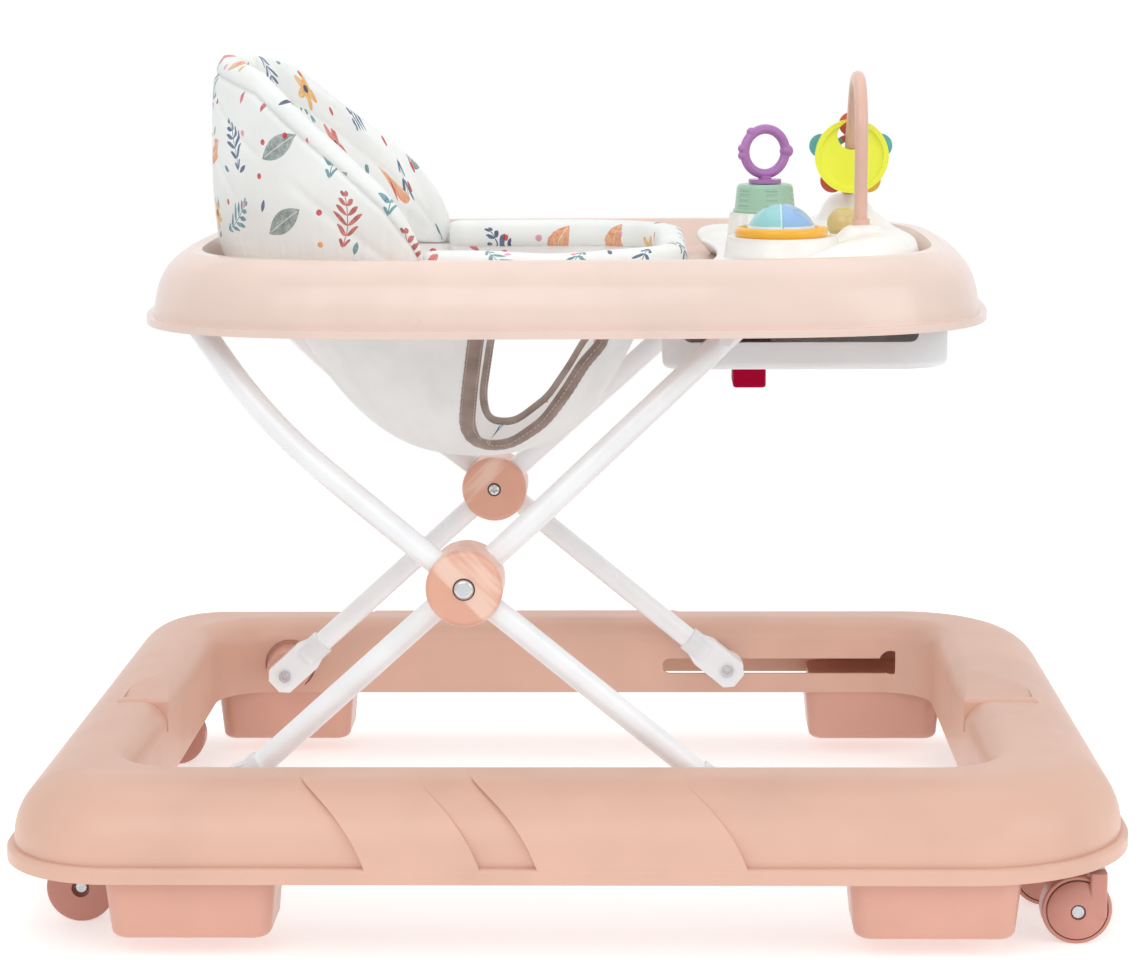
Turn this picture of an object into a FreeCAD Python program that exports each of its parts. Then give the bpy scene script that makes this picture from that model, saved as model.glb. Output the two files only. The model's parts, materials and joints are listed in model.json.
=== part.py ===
import FreeCAD, Part
import math
import os

# Baby walker: a moulded base ring on wheels, a scissor frame of bent tubes, and a tray that carries
# the seat and the toys.  +X is the walker's front, +Z is up, the floor is z = 0, and the model is
# symmetric about y = 0 apart from the toys.  All sizes are in millimetres.

V = FreeCAD.Vector

# ---- base ring -------------------------------------------------------------------------------
BASE_HALF_LENGTH = 364.5
BASE_REAR = -BASE_HALF_LENGTH
BASE_FRONT = BASE_HALF_LENGTH
BASE_HALF_WIDTH = 300.0
BASE_REAR_RADIUS = 77.0
BASE_FRONT_RADIUS = 112.0
BASE_BOTTOM = 53.0
BASE_TOP = 111.0
BASE_WALL = 3.0
BASE_DOME_RADIUS = 45.0
BEAD_STEP = 5.0
BEAD_WIDTH = 8.0
BEAD_HEIGHT = 10.0
REAR_RAIL_WIDTH = 76.5
FRONT_RAIL_WIDTH = 91.5
SIDE_RAIL_WIDTH = 83.0
OPENING_REAR = BASE_REAR + REAR_RAIL_WIDTH
OPENING_FRONT = BASE_FRONT - FRONT_RAIL_WIDTH
OPENING_HALF_WIDTH = BASE_HALF_WIDTH - SIDE_RAIL_WIDTH
OPENING_RADIUS = 38.0
OPENING_EDGE_RADIUS = 18.0
HINGE_BOSS = 4.0
SCOOP_FAR = 60.0
SCOOP_NEAR = 45.0
SCOOP_DEPTH = 8.0
SCOOP_FRONT_REACH = 49.0
SCOOP_REAR_REACH = 33.0

# ---- feet ------------------------------------------------------------------------------------
FOOT_LENGTH = 109.0
FOOT_REAR_SETBACK = 71.5
FOOT_FRONT_SETBACK = 79.0
FOOT_STARTS = (BASE_REAR + FOOT_REAR_SETBACK, BASE_FRONT - FOOT_FRONT_SETBACK - FOOT_LENGTH)
FOOT_MARGIN = 10.0
FOOT_OUTER = BASE_HALF_WIDTH - FOOT_MARGIN
FOOT_BOTTOM = 13.0
FOOT_TAPER = 4.0
FOOT_CORNER = 14.0
FOOT_PLUG = 12.0

# ---- wheels ----------------------------------------------------------------------------------
WHEEL_RADIUS = 22.5
WHEEL_WIDTH = 15.0
AXLE_RADIUS = 3.0
RUNNING_CLEARANCE = 0.05
CASTER_STEMS = (("outer", BASE_FRONT - 27.5, BASE_HALF_WIDTH - 59.0),
                ("inner", BASE_FRONT - 36.5, BASE_HALF_WIDTH - 140.0))
CASTER_TRAIL = 13.0
CASTER_FACE = 10.0
STEM_RADIUS = 3.0
COLLAR_RADIUS = 5.7
COLLAR_HEIGHT = 3.6
SOCKET_RADIUS = 7.5
SOCKET_DROP = 2.0
REAR_WHEEL_X = BASE_REAR + 42.5
REAR_WHEEL_FACE = BASE_HALF_WIDTH - 91.0

# ---- scissor frame, seen from the side: (x, z) -------------------------------------------------
TRAY_CENTRE_X = -4.0
TRAY_HALF_LENGTH = 285.0
TRAY_REAR = TRAY_CENTRE_X - TRAY_HALF_LENGTH
TRAY_FRONT = TRAY_CENTRE_X + TRAY_HALF_LENGTH
HOUSING_FRONT = TRAY_FRONT - 30.0
HINGE = (OPENING_REAR + 55.0, 74.5)
SLIDE = (OPENING_FRONT - 159.0, 74.5)
PIVOT = (-67.0, 224.0)
SLOT_ROD = (HOUSING_FRONT - 149.0, 379.0)
TRAY_HINGE = (TRAY_REAR + 41.0, 391.0)
TUBE_RADIUS = 8.0
TUBE_WALL = 1.5
PLANE_B = OPENING_HALF_WIDTH - 13.0
PLANE_A = PLANE_B - 18.0
TOP_A = 158.0
TOP_B = 140.0
LEAN_START = 42.0
TUBE_BEND = 260.0
KNEE = (TRAY_HINGE[0] + 49.0, 326.0)
KNEE_BEND = 380.0
EAR_GAP = 3.6
CAP_HALF_WIDTH = 12.0
CAP_THICKNESS = 12.0
CAP_REACH = 40.0
DISC_RADIUS = 25.0
DISC_OUTER_FACE = PLANE_B + 13.0
DISC_INNER_FACE = PLANE_A - 13.0
BOLT_RADIUS = 3.0
SPACER_RADIUS = 18.0
ROD_RADIUS = 4.5

# ---- base slot -------------------------------------------------------------------------------
SLOT_REAR = SLIDE[0] - 45.0
SLOT_HALF_HEIGHT = 6.1
SHOE_RADIUS = 5.5
KEYHOLE_X = OPENING_FRONT - 35.0
KEYHOLE_RADIUS = 9.5

# ---- tray ------------------------------------------------------------------------------------
TRAY_HALF_WIDTH = 216.0
TRAY_POWER = 4.0
TRAY_BOTTOM = 385.0
TRAY_TOP = 432.0
TRAY_FLOOR = 413.0
TRAY_WALL = 3.0
RIM_INSET = 33.0
RECESS_INSET = 42.0

# ---- seat ------------------------------------------------------------------------------------
TOY_TRAY_REAR = TRAY_FRONT - 195.0
SEAT_CENTRE_X = TRAY_REAR + 192.0
SEAT_HOLE_RADIUS = 146.0
SEAT_HOLE_FRONT = TOY_TRAY_REAR - 24.0
SEAT_HOLE_CORNER = 70.0
SEAT_BACK_RADIUS = 156.0
SEAT_BACK_HEIGHT = 148.0
SEAT_RIM_HEIGHT = 20.0
SLING_HALF_WIDTH = 131.0
SLING_FRONT = SEAT_HOLE_FRONT - 0.8
SLING_REAR = SEAT_CENTRE_X - 119.0
SEAT_BOTTOM = 280.0
SLING_WALL = 4.0
BINDING_WIDTH = 9.0
SEAT_GAP = 0.3

# ---- slide housing ---------------------------------------------------------------------------
HOUSING_REAR = HOUSING_FRONT - 190.0
HOUSING_HALF_WIDTH = 140.0
HOUSING_BOTTOM = 355.5
HOUSING_WALL = 3.0
ROD_SLOT_REAR = SLOT_ROD[0] - 22.0
ROD_SLOT_FRONT = HOUSING_FRONT - 27.0
ROD_GAP = 0.7
CATCH_X = SLOT_ROD[0] + 20.5
CATCH_TRAVEL = 6.0

# ---- toys ------------------------------------------------------------------------------------
TOY_DECK = TRAY_FLOOR + 12.0
DOME_X, DOME_Y = TRAY_FRONT - 139.5, -75.0
CUP_X, CUP_Y = TRAY_FRONT - 147.0, 15.0
KNOB_X, KNOB_Y = TRAY_FRONT - 93.0, -14.0
KNOB_STEM_RADIUS = 5.0
ARCH_X = TRAY_FRONT - 85.0
ARCH_NEAR_Y = -60.0
ARCH_FAR_Y = 70.0
ARCH_RADIUS = 4.5
ARCH_BEND = 38.0
NEAR_BOSS_HEIGHT = 19.5
FAR_BOSS_HEIGHT = 33.0
RIDGE_HEIGHT = 17.0
RIDGE_WIDTH = 32.0


# ---- general helpers -------------------------------------------------------------------------
def export(node, *solids):
    shape = solids[0] if len(solids) == 1 else Part.makeCompound(list(solids))
    shape.exportStep("parts/" + node + ".step")


def mirrored(shape):
    return shape.mirror(V(0, 0, 0), V(0, 1, 0))


def both_sides(shape):
    return [shape, mirrored(shape)]


def fused(first, *others):
    result = first
    for other in others:
        result = result.fuse(other)
    return result.removeSplitter()


def cut_all(shape, *tools):
    for tool in tools:
        shape = shape.cut(tool)
    return shape


def cyl_x(y, z, radius, x0, x1):
    return Part.makeCylinder(radius, x1 - x0, V(x0, y, z), V(1, 0, 0))


def cyl_y(x, z, radius, y0, y1):
    return Part.makeCylinder(radius, y1 - y0, V(x, y0, z), V(0, 1, 0))


def cyl_z(x, y, radius, z0, z1):
    return Part.makeCylinder(radius, z1 - z0, V(x, y, z0), V(0, 0, 1))


def box(x0, x1, y0, y1, z0, z1):
    return Part.makeBox(x1 - x0, y1 - y0, z1 - z0, V(x0, y0, z0))


def prism(wire, direction):
    return Part.Face(wire).extrude(direction)


def rounded_rect(x0, x1, half_width, z, rear_radius, front_radius):
    """Rectangle about y = 0 with its own corner radius at each end."""
    edges = []
    corners = (
        (x1 - front_radius, half_width - front_radius, front_radius, 0.0),
        (x0 + rear_radius, half_width - rear_radius, rear_radius, 90.0),
        (x0 + rear_radius, rear_radius - half_width, rear_radius, 180.0),
        (x1 - front_radius, front_radius - half_width, front_radius, 270.0),
    )
    ends = []
    for cx, cy, radius, start in corners:
        points = []
        for degrees in (start, start + 45.0, start + 90.0):
            angle = math.radians(degrees)
            points.append(V(cx + radius * math.cos(angle), cy + radius * math.sin(angle), z))
        ends.append(points)
    for here, after in zip(ends, ends[1:] + ends[:1]):
        edges.append(Part.Arc(*here).toShape())
        edges.append(Part.LineSegment(here[2], after[0]).toShape())
    return Part.Wire(edges)


def polygon(points):
    return Part.makePolygon(list(points) + [points[0]])


def edges_at_top(shape, z, inside=None):
    """Edges that lie in the plane z; inside limits them to |x| or |y| within a box."""
    found = []
    for edge in shape.Edges:
        bounds = edge.BoundBox
        if abs(bounds.ZMin - z) > 0.01 or abs(bounds.ZMax - z) > 0.01:
            continue
        if inside is None or (bounds.XMin > inside[0] and bounds.XMax < inside[1]
                              and bounds.YMin > -inside[2] and bounds.YMax < inside[2]):
            found.append(edge)
    return found


def bent_tube(points, bends, radius, bore=0.0):
    """Round tube along straight runs joined by tangent arcs; solid where bore is zero."""
    edges = []
    start = points[0]
    for i in range(1, len(points) - 1):
        before = (points[i - 1] - points[i]).normalize()
        after = (points[i + 1] - points[i]).normalize()
        half = 0.5 * before.getAngle(after)
        reach = bends[i - 1] / math.tan(half)
        enter = points[i] + before * reach
        leave = points[i] + after * reach
        middle_line = (before + after).normalize()
        middle = points[i] + middle_line * (bends[i - 1] / math.sin(half) - bends[i - 1])
        edges.append(Part.LineSegment(start, enter).toShape())
        edges.append(Part.Arc(enter, middle, leave).toShape())
        start = leave
    edges.append(Part.LineSegment(start, points[-1]).toShape())
    path = Part.Wire(edges)
    along = (points[1] - points[0]).normalize()

    def swept(size):
        section = Part.Wire([Part.makeCircle(size, points[0], along)])
        return path.makePipeShell([section], True, False)

    outside = swept(radius)
    return outside.cut(swept(bore)) if bore else outside


# ---- base ------------------------------------------------------------------------------------
def ring_block(inset):
    """The base ring as a solid: domed outside, rounded inner edge; inset shrinks every wall."""
    wall = BEAD_STEP + inset
    top = BASE_TOP - inset
    outline = rounded_rect(BASE_REAR + wall, BASE_FRONT - wall, BASE_HALF_WIDTH - wall, BASE_BOTTOM,
                           BASE_REAR_RADIUS - wall, BASE_FRONT_RADIUS - wall)
    block = prism(outline, V(0, 0, top - BASE_BOTTOM))
    block = block.makeFillet(BASE_DOME_RADIUS - inset, edges_at_top(block, top))
    hole = rounded_rect(OPENING_REAR - inset, OPENING_FRONT + inset, OPENING_HALF_WIDTH + inset,
                        BASE_BOTTOM - 1, OPENING_RADIUS + inset, OPENING_RADIUS + inset)
    block = block.cut(prism(hole, V(0, 0, BASE_TOP)))
    near = (OPENING_REAR - inset - 1, OPENING_FRONT + inset + 1, OPENING_HALF_WIDTH + inset + 1)
    return block.makeFillet(OPENING_EDGE_RADIUS - inset, edges_at_top(block, top, near))


def rail_scoop(edge, reach, grow):
    """Sloping recess in the top of an end rail.  It starts at the opening's edge, is deepest at its right
    corner and runs out along a slanting line; grow lowers its floor and moves its walls out."""
    way = math.copysign(1.0, edge)
    far = V(edge + way * 5.0, SCOOP_FAR, 0)
    tip = V(edge + way * reach, 0, 0)
    corner = V(edge + way * 2.0, -SCOOP_NEAR, 0)
    run_out = V(tip.x - far.x, tip.y - far.y, 0).normalize()
    level = V(-run_out.y * way, run_out.x * way, 0)
    if (corner - far).dot(level) < 0:
        level = level * -1.0
    slope = SCOOP_DEPTH / (corner - far).dot(level)
    plan = [V(edge - way * 20.0, SCOOP_FAR + 20.0, 0), far, tip, V(tip.x + way * grow, -SCOOP_NEAR - grow, 0),
            V(edge - way * 20.0, -SCOOP_NEAR - grow, 0)]
    floor = [V(q.x, q.y, BASE_TOP - slope * (q - far).dot(level) - grow) for q in plan]
    roof = [V(q.x, q.y, BASE_TOP + 20.0) for q in plan]
    return Part.makeLoft([polygon(floor), polygon(roof)], True, True)


def rail_scoops(grow):
    return [rail_scoop(OPENING_FRONT, SCOOP_FRONT_REACH, grow), rail_scoop(OPENING_REAR, SCOOP_REAR_REACH, grow)]


def scoop_rib(edge, reach):
    """Low rounded bar along the right side of a rail's recess."""
    way = math.copysign(1.0, edge)
    x0, x1 = sorted((edge - way * 1.0, edge + way * (reach + 2.0)))
    bar = box(x0, x1, -SCOOP_NEAR - 8.0, -SCOOP_NEAR + 1.0, BASE_TOP - OPENING_EDGE_RADIUS - 4.0, BASE_TOP + 1.5)
    bar = bar.makeFillet(3.0, [e for e in bar.Edges if e.BoundBox.ZMax > BASE_TOP + 1 and e.BoundBox.ZLength < 1])
    return bar


def base_cavity():
    """The hollow under the ring, open at the bottom."""
    return cut_all(ring_block(BASE_WALL), *rail_scoops(BASE_WALL))


def base_bead():
    outer = rounded_rect(BASE_REAR, BASE_FRONT, BASE_HALF_WIDTH, BASE_BOTTOM,
                         BASE_REAR_RADIUS, BASE_FRONT_RADIUS)
    inner = rounded_rect(BASE_REAR + BEAD_WIDTH, BASE_FRONT - BEAD_WIDTH, BASE_HALF_WIDTH - BEAD_WIDTH,
                         BASE_BOTTOM, BASE_REAR_RADIUS - BEAD_WIDTH, BASE_FRONT_RADIUS - BEAD_WIDTH)
    bead = prism(outer, V(0, 0, BEAD_HEIGHT))
    bead = bead.makeFillet(3.0, edges_at_top(bead, BASE_BOTTOM + BEAD_HEIGHT))
    return bead.cut(prism(inner, V(0, 0, BEAD_HEIGHT)))


def wave_band(lower_x, width, block):
    """Raised wave on a long rail: flush with the bead at the foot, fading out at the crest."""
    rise = BASE_TOP - BASE_BOTTOM + 1.0
    lean = 0.8 * rise

    def side(x):
        return Part.Arc(V(x, 0, BASE_BOTTOM), V(x - 0.3 * lean, 0, BASE_BOTTOM + 0.55 * rise),
                        V(x - lean, 0, BASE_BOTTOM + rise)).toShape()

    low = Part.LineSegment(V(lower_x, 0, BASE_BOTTOM), V(lower_x + width, 0, BASE_BOTTOM)).toShape()
    high = Part.LineSegment(V(lower_x + width - lean, 0, BASE_BOTTOM + rise),
                            V(lower_x - lean, 0, BASE_BOTTOM + rise)).toShape()
    slab = prism(Part.Wire([low, side(lower_x + width), high, side(lower_x)]), V(0, -BASE_HALF_WIDTH - 10, 0))
    moved = block.copy()
    moved.translate(V(0, 0.6 - BEAD_STEP, 0))
    crest = BASE_HALF_WIDTH - BEAD_STEP - BASE_DOME_RADIUS + 2.0
    keep = box(BASE_REAR, BASE_FRONT, -BASE_HALF_WIDTH - 10, -crest, 0, BASE_TOP + 10)
    return moved.common(slab).common(keep)


def stadium(x0, x1, z, half, y0, y1):
    """Slot with round ends, its axis along x, cut through from y0 to y1."""
    low = Part.LineSegment(V(x0, y0, z - half), V(x1, y0, z - half)).toShape()
    front = Part.Arc(V(x1, y0, z - half), V(x1 + half, y0, z), V(x1, y0, z + half)).toShape()
    high = Part.LineSegment(V(x1, y0, z + half), V(x0, y0, z + half)).toShape()
    rear = Part.Arc(V(x0, y0, z + half), V(x0 - half, y0, z), V(x0, y0, z - half)).toShape()
    return prism(Part.Wire([low, front, high, rear]), V(0, y1 - y0, 0))


def base_shell():
    block = ring_block(0.0)
    waves = []
    for lower_x, width in ((-124.0, 72.0), (-16.0, 131.0)):
        waves.extend(both_sides(wave_band(lower_x, width, block)))
    ribs = [scoop_rib(OPENING_FRONT, SCOOP_FRONT_REACH), scoop_rib(OPENING_REAR, SCOOP_REAR_REACH)]
    block = fused(cut_all(block, *rail_scoops(0.0)), *ribs)
    shell = fused(block, base_bead(), *waves).cut(base_cavity())
    wall_in = OPENING_HALF_WIDTH
    wall_out = OPENING_HALF_WIDTH + BASE_WALL
    boss = cyl_y(HINGE[0], HINGE[1], SPACER_RADIUS + 3, wall_in + 1, wall_out + HINGE_BOSS)
    boss = boss.common(box(BASE_REAR, 0, 0, BASE_HALF_WIDTH, BASE_BOTTOM, BASE_TOP - 1))
    shell = fused(shell, *both_sides(boss))
    slot = stadium(SLOT_REAR, KEYHOLE_X, SLIDE[1], SLOT_HALF_HEIGHT, wall_in - 2, wall_out + 1)
    keyhole = cyl_y(KEYHOLE_X + 6, SLIDE[1] + 3, KEYHOLE_RADIUS, wall_in - 2, wall_out + 1)
    pocket = cyl_y(HINGE[0], HINGE[1] + 1.5, SPACER_RADIUS + 2, wall_in - 2, wall_in + 3)
    bore = cyl_y(HINGE[0], HINGE[1], BOLT_RADIUS, wall_in - 2, wall_out + HINGE_BOSS + 1)
    tools = []
    for tool in (slot, keyhole, pocket, bore):
        tools.extend(both_sides(tool))
    return cut_all(shell, *tools)


def foot_block(x0, cavity):
    """Stop block: tapered body with a plug that fits up inside the ring."""
    x1 = x0 + FOOT_LENGTH
    y0 = OPENING_HALF_WIDTH + 2.0
    depth = 0.5 * (FOOT_OUTER - y0)

    def outline(inset, z):
        wire = rounded_rect(x0 + inset, x1 - inset, depth - inset, z, FOOT_CORNER - 0.5 * inset,
                            FOOT_CORNER - 0.5 * inset)
        wire.translate(V(0, y0 + depth, 0))
        return wire

    body = Part.makeLoft([outline(FOOT_TAPER, FOOT_BOTTOM), outline(0, BASE_BOTTOM)], True, True)
    body = body.makeFillet(5.0, edges_at_top(body, FOOT_BOTTOM))
    plug = prism(outline(3.5, BASE_BOTTOM), V(0, 0, FOOT_PLUG))
    plug.translate(V(0, 0, -1.0))
    room = box(x0, x1, OPENING_HALF_WIDTH + BASE_WALL + HINGE_BOSS + 0.2, FOOT_OUTER - 2, BASE_BOTTOM - 1, BASE_TOP)
    room = room.cut(box(x0, x1, 0, BASE_HALF_WIDTH, BASE_BOTTOM, BASE_TOP).cut(cavity))
    return fused(body, plug.common(room))


def foot_blocks(cavity):
    solids = []
    for x0 in FOOT_STARTS:
        solids.extend(both_sides(foot_block(x0, cavity)))
    return solids


def caster_sockets(cavity):
    """Bosses under the ring that take the caster stems and stand a little below its edge."""
    solids = []
    for _, x, y in CASTER_STEMS:
        boss = cyl_z(x, y, SOCKET_RADIUS, BASE_BOTTOM - 1, BASE_TOP).common(cavity).cut(base_bead())
        foot = cyl_z(x, y, COLLAR_RADIUS, BASE_BOTTOM - SOCKET_DROP, BASE_BOTTOM)
        boss = fused(boss, foot).cut(cyl_z(x, y, STEM_RADIUS + RUNNING_CLEARANCE, 0, BASE_BOTTOM + 23.0))
        solids.extend(both_sides(boss))
    return solids


def caster_collars():
    top = BASE_BOTTOM - SOCKET_DROP
    solids = []
    for _, x, y in CASTER_STEMS:
        ring = cyl_z(x, y, COLLAR_RADIUS, top - COLLAR_HEIGHT, top)
        ring = ring.cut(cyl_z(x, y, STEM_RADIUS + RUNNING_CLEARANCE, 0, BASE_BOTTOM))
        solids.extend(both_sides(ring))
    return solids


def caster_fork(stem_x, stem_y):
    """Post round the stem, merging into the domed hood that covers the wheel's outer face."""
    wheel_x = stem_x - CASTER_TRAIL
    face = stem_y + CASTER_FACE
    top = BASE_BOTTOM - SOCKET_DROP - COLLAR_HEIGHT - 0.1
    size = WHEEL_RADIUS - 3.5
    rim = Part.LineSegment(V(size, face - 1.0, 0), V(size, face + 1.6, 0)).toShape()
    dome = Part.Arc(V(size, face + 1.6, 0), V(0.6 * size, face + 5.0, 0), V(0, face + 6.2, 0)).toShape()
    spine = Part.LineSegment(V(0, face + 6.2, 0), V(0, face - 1.0, 0)).toShape()
    back = Part.LineSegment(V(0, face - 1.0, 0), V(size, face - 1.0, 0)).toShape()
    hood = Part.Face(Part.Wire([rim, dome, spine, back])).revolve(V(0, 0, 0), V(0, 1, 0), 360)
    hood.translate(V(wheel_x, 0, WHEEL_RADIUS))
    post = box(stem_x - 5.5, stem_x + 5.5, face + 1.3, face + 5.0, WHEEL_RADIUS - 4.0, top)
    post = post.makeFillet(2.0, [e for e in post.Edges if e.BoundBox.ZLength > 10 and e.BoundBox.YMin > face + 4])
    shoulder = box(stem_x - 5.5, stem_x + 5.5, stem_y, face + 3.0, top - 1.2, top)
    shoulder = shoulder.fuse(cyl_z(stem_x, stem_y, 5.5, top - 1.2, top))
    stem = cyl_z(stem_x, stem_y, STEM_RADIUS, top - 1.0, BASE_BOTTOM + 22.0)
    bore = cyl_y(wheel_x, WHEEL_RADIUS, AXLE_RADIUS, face - 2, face + 4.0)
    recess = cyl_y(wheel_x, WHEEL_RADIUS, 5.0, face + 3.4, face + 8)
    return fused(hood, post, shoulder, stem).cut(bore.fuse(recess))


def caster_axle(stem_x, stem_y):
    wheel_x = stem_x - CASTER_TRAIL
    face = stem_y + CASTER_FACE
    shaft = cyl_y(wheel_x, WHEEL_RADIUS, AXLE_RADIUS, face - WHEEL_WIDTH - 1.5, face + 3.4)
    head = cyl_y(wheel_x, WHEEL_RADIUS, 4.2, face + 3.4, face + 5.6)
    head = head.makeFillet(0.8, [e for e in head.Edges if e.BoundBox.YMin > face + 5.5])
    nut = cyl_y(wheel_x, WHEEL_RADIUS, 4.5, face - WHEEL_WIDTH - 2.5, face - WHEEL_WIDTH - 0.5)
    return fused(shaft, head, nut)


def wheel(x, y_in, y_out, recess_radius, recess_depth):
    """Wheel with rounded tread edges, a recess in its outer face and a bore for its axle."""
    body = cyl_y(x, WHEEL_RADIUS, WHEEL_RADIUS, y_in, y_out)
    rims = [e for e in body.Edges if abs(e.BoundBox.YMax - e.BoundBox.YMin) < 0.01]
    body = body.makeFillet(1.6, rims)
    recess = cyl_y(x, WHEEL_RADIUS, recess_radius, y_out - recess_depth, y_out + 1)
    bore = cyl_y(x, WHEEL_RADIUS, AXLE_RADIUS + RUNNING_CLEARANCE, y_in - 1, y_out + 1)
    return cut_all(body, recess, bore)


def caster_wheel(stem_x, stem_y):
    face = stem_y + CASTER_FACE
    return wheel(stem_x - CASTER_TRAIL, face + 1.0 - WHEEL_WIDTH, face + 1.0, WHEEL_RADIUS - 2.5, 2.4)


def rear_bracket(cavity):
    """Web that hangs from the ring behind each rear wheel."""
    y_out = REAR_WHEEL_FACE - WHEEL_WIDTH - 0.4
    web = box(REAR_WHEEL_X - 12, REAR_WHEEL_X + 12, y_out - 7, y_out, WHEEL_RADIUS, BASE_TOP)
    lower = web.common(box(BASE_REAR, 0, 0, BASE_HALF_WIDTH, 0, BASE_BOTTOM))
    upper = web.common(cavity)
    tip = cyl_y(REAR_WHEEL_X, WHEEL_RADIUS, 12.0, y_out - 7, y_out)
    bore = cyl_y(REAR_WHEEL_X, WHEEL_RADIUS, AXLE_RADIUS, 0, BASE_HALF_WIDTH)
    return fused(lower, upper, tip).cut(bore)


def rear_axle():
    y_in = REAR_WHEEL_FACE - WHEEL_WIDTH - 7.4
    shaft = cyl_y(REAR_WHEEL_X, WHEEL_RADIUS, AXLE_RADIUS, y_in, REAR_WHEEL_FACE - 4.7)
    head = cyl_y(REAR_WHEEL_X, WHEEL_RADIUS, 4.4, REAR_WHEEL_FACE - 4.7, REAR_WHEEL_FACE - 2.2)
    edge = [e for e in head.Edges if abs(e.BoundBox.YMin - REAR_WHEEL_FACE + 2.2) < 0.01]
    return fused(head.makeFillet(1.5, edge), shaft)


def hinge_spacer():
    y_in = PLANE_A + 0.5 * CAP_THICKNESS
    y_out = OPENING_HALF_WIDTH + 3.0
    body = Part.makeCone(SPACER_RADIUS - 1.5, SPACER_RADIUS, y_out - y_in, V(HINGE[0], y_in, HINGE[1]), V(0, 1, 0))
    return body.cut(cyl_y(HINGE[0], HINGE[1], BOLT_RADIUS, 0, 400))


def hinge_bolt():
    y_in = PLANE_A - 0.5 * CAP_THICKNESS
    shaft = cyl_y(HINGE[0], HINGE[1], BOLT_RADIUS, y_in, OPENING_HALF_WIDTH + BASE_WALL + 4.0)
    head = cyl_y(HINGE[0], HINGE[1], 4.5, y_in - 2.0, y_in)
    socket = cyl_y(HINGE[0], HINGE[1], 2.0, y_in - 3, y_in - 0.8)
    return fused(shaft, head).cut(socket)


# ---- scissor frame ---------------------------------------------------------------------------
def elevation(start, end):
    return math.degrees(math.atan2(end[1] - start[1], end[0] - start[0]))


def along(start, end, distance):
    length = math.hypot(end[0] - start[0], end[1] - start[1])
    share = distance / length
    return (start[0] + share * (end[0] - start[0]), start[1] + share * (end[1] - start[1]))


def end_cap(hinge, towards, y, bore):
    """Flattened moulded end with chamfered corners and a collar that takes the tube."""
    half = CAP_HALF_WIDTH
    corner = 0.5 * half
    outline = polygon([V(-half, 0, -corner), V(-corner, 0, -half), V(24, 0, -half), V(32, 0, -9),
                       V(32, 0, 9), V(24, 0, half), V(-corner, 0, half), V(-half, 0, corner)])
    plate = prism(outline, V(0, CAP_THICKNESS, 0))
    plate.translate(V(0, -0.5 * CAP_THICKNESS, 0))
    collar = cyl_x(0, 0, TUBE_RADIUS + 1.8, 22.0, CAP_REACH)
    cap = fused(plate, collar)
    cap = cap.cut(cyl_x(0, 0, TUBE_RADIUS, 26.0, CAP_REACH + 1))
    cap = cap.cut(cyl_y(0, 0, bore, -50, 50))
    cap.rotate(V(0, 0, 0), V(0, 1, 0), -elevation(hinge, towards))
    cap.translate(V(hinge[0], y, hinge[1]))
    return cap


def tube_a_path():
    start = along(HINGE, PIVOT, 26.0)
    lean = along(PIVOT, HINGE, -LEAN_START)
    reach = math.hypot(SLOT_ROD[0] - lean[0], SLOT_ROD[1] - lean[1])
    end = along(lean, SLOT_ROD, reach + 10.0)
    y_end = PLANE_A - (1.0 + 10.0 / reach) * (PLANE_A - TOP_A)
    return [V(start[0], PLANE_A, start[1]), V(lean[0], PLANE_A, lean[1]), V(end[0], y_end, end[1])]


def tube_a():
    """Tube from the rear base hinge up to the slide rod; it leans inwards above the pivot."""
    tube = bent_tube(tube_a_path(), [TUBE_BEND], TUBE_RADIUS, TUBE_RADIUS - TUBE_WALL)
    rod = cyl_y(SLOT_ROD[0], SLOT_ROD[1], ROD_RADIUS, 0, BASE_HALF_WIDTH)
    bolt = cyl_y(PIVOT[0], PIVOT[1], BOLT_RADIUS + RUNNING_CLEARANCE, 0, BASE_HALF_WIDTH)
    return cut_all(tube, rod, bolt)


def tube_b_path():
    start = along(SLIDE, PIVOT, 26.0)
    lean = along(PIVOT, SLIDE, -LEAN_START)
    to_knee = math.hypot(KNEE[0] - lean[0], KNEE[1] - lean[1])
    to_top = math.hypot(TRAY_HINGE[0] - KNEE[0], TRAY_HINGE[1] - KNEE[1])
    slope = (PLANE_B - TOP_B) / (to_knee + to_top)
    end = along(KNEE, TRAY_HINGE, to_top + 9.0)
    return [V(start[0], PLANE_B, start[1]), V(lean[0], PLANE_B, lean[1]),
            V(KNEE[0], PLANE_B - slope * to_knee, KNEE[1]), V(end[0], TOP_B - slope * 9.0, end[1])]


def tube_b():
    """Tube from the front base slot up to the tray hinge; it bends upwards and leans inwards."""
    tube = bent_tube(tube_b_path(), [TUBE_BEND, KNEE_BEND], TUBE_RADIUS, TUBE_RADIUS - TUBE_WALL)
    bolt = cyl_y(PIVOT[0], PIVOT[1], BOLT_RADIUS, 0, BASE_HALF_WIDTH)
    pin = cyl_y(TRAY_HINGE[0], TRAY_HINGE[1], BOLT_RADIUS + RUNNING_CLEARANCE, 0, BASE_HALF_WIDTH)
    return cut_all(tube, bolt, pin)


def pivot_disc(y0, y1, channel, bore, open_face):
    """Round clamp that encloses a tube at the crossing; channel is the tube's outside."""
    disc = cyl_y(PIVOT[0], PIVOT[1], DISC_RADIUS, y0, y1)
    rim = [e for e in disc.Edges if abs(e.BoundBox.YMin - open_face) < 0.01 and abs(e.BoundBox.YMax - open_face) < 0.01]
    disc = disc.makeFillet(4.0, rim)
    return cut_all(disc, channel, cyl_y(PIVOT[0], PIVOT[1], bore, 0, BASE_HALF_WIDTH))


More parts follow.
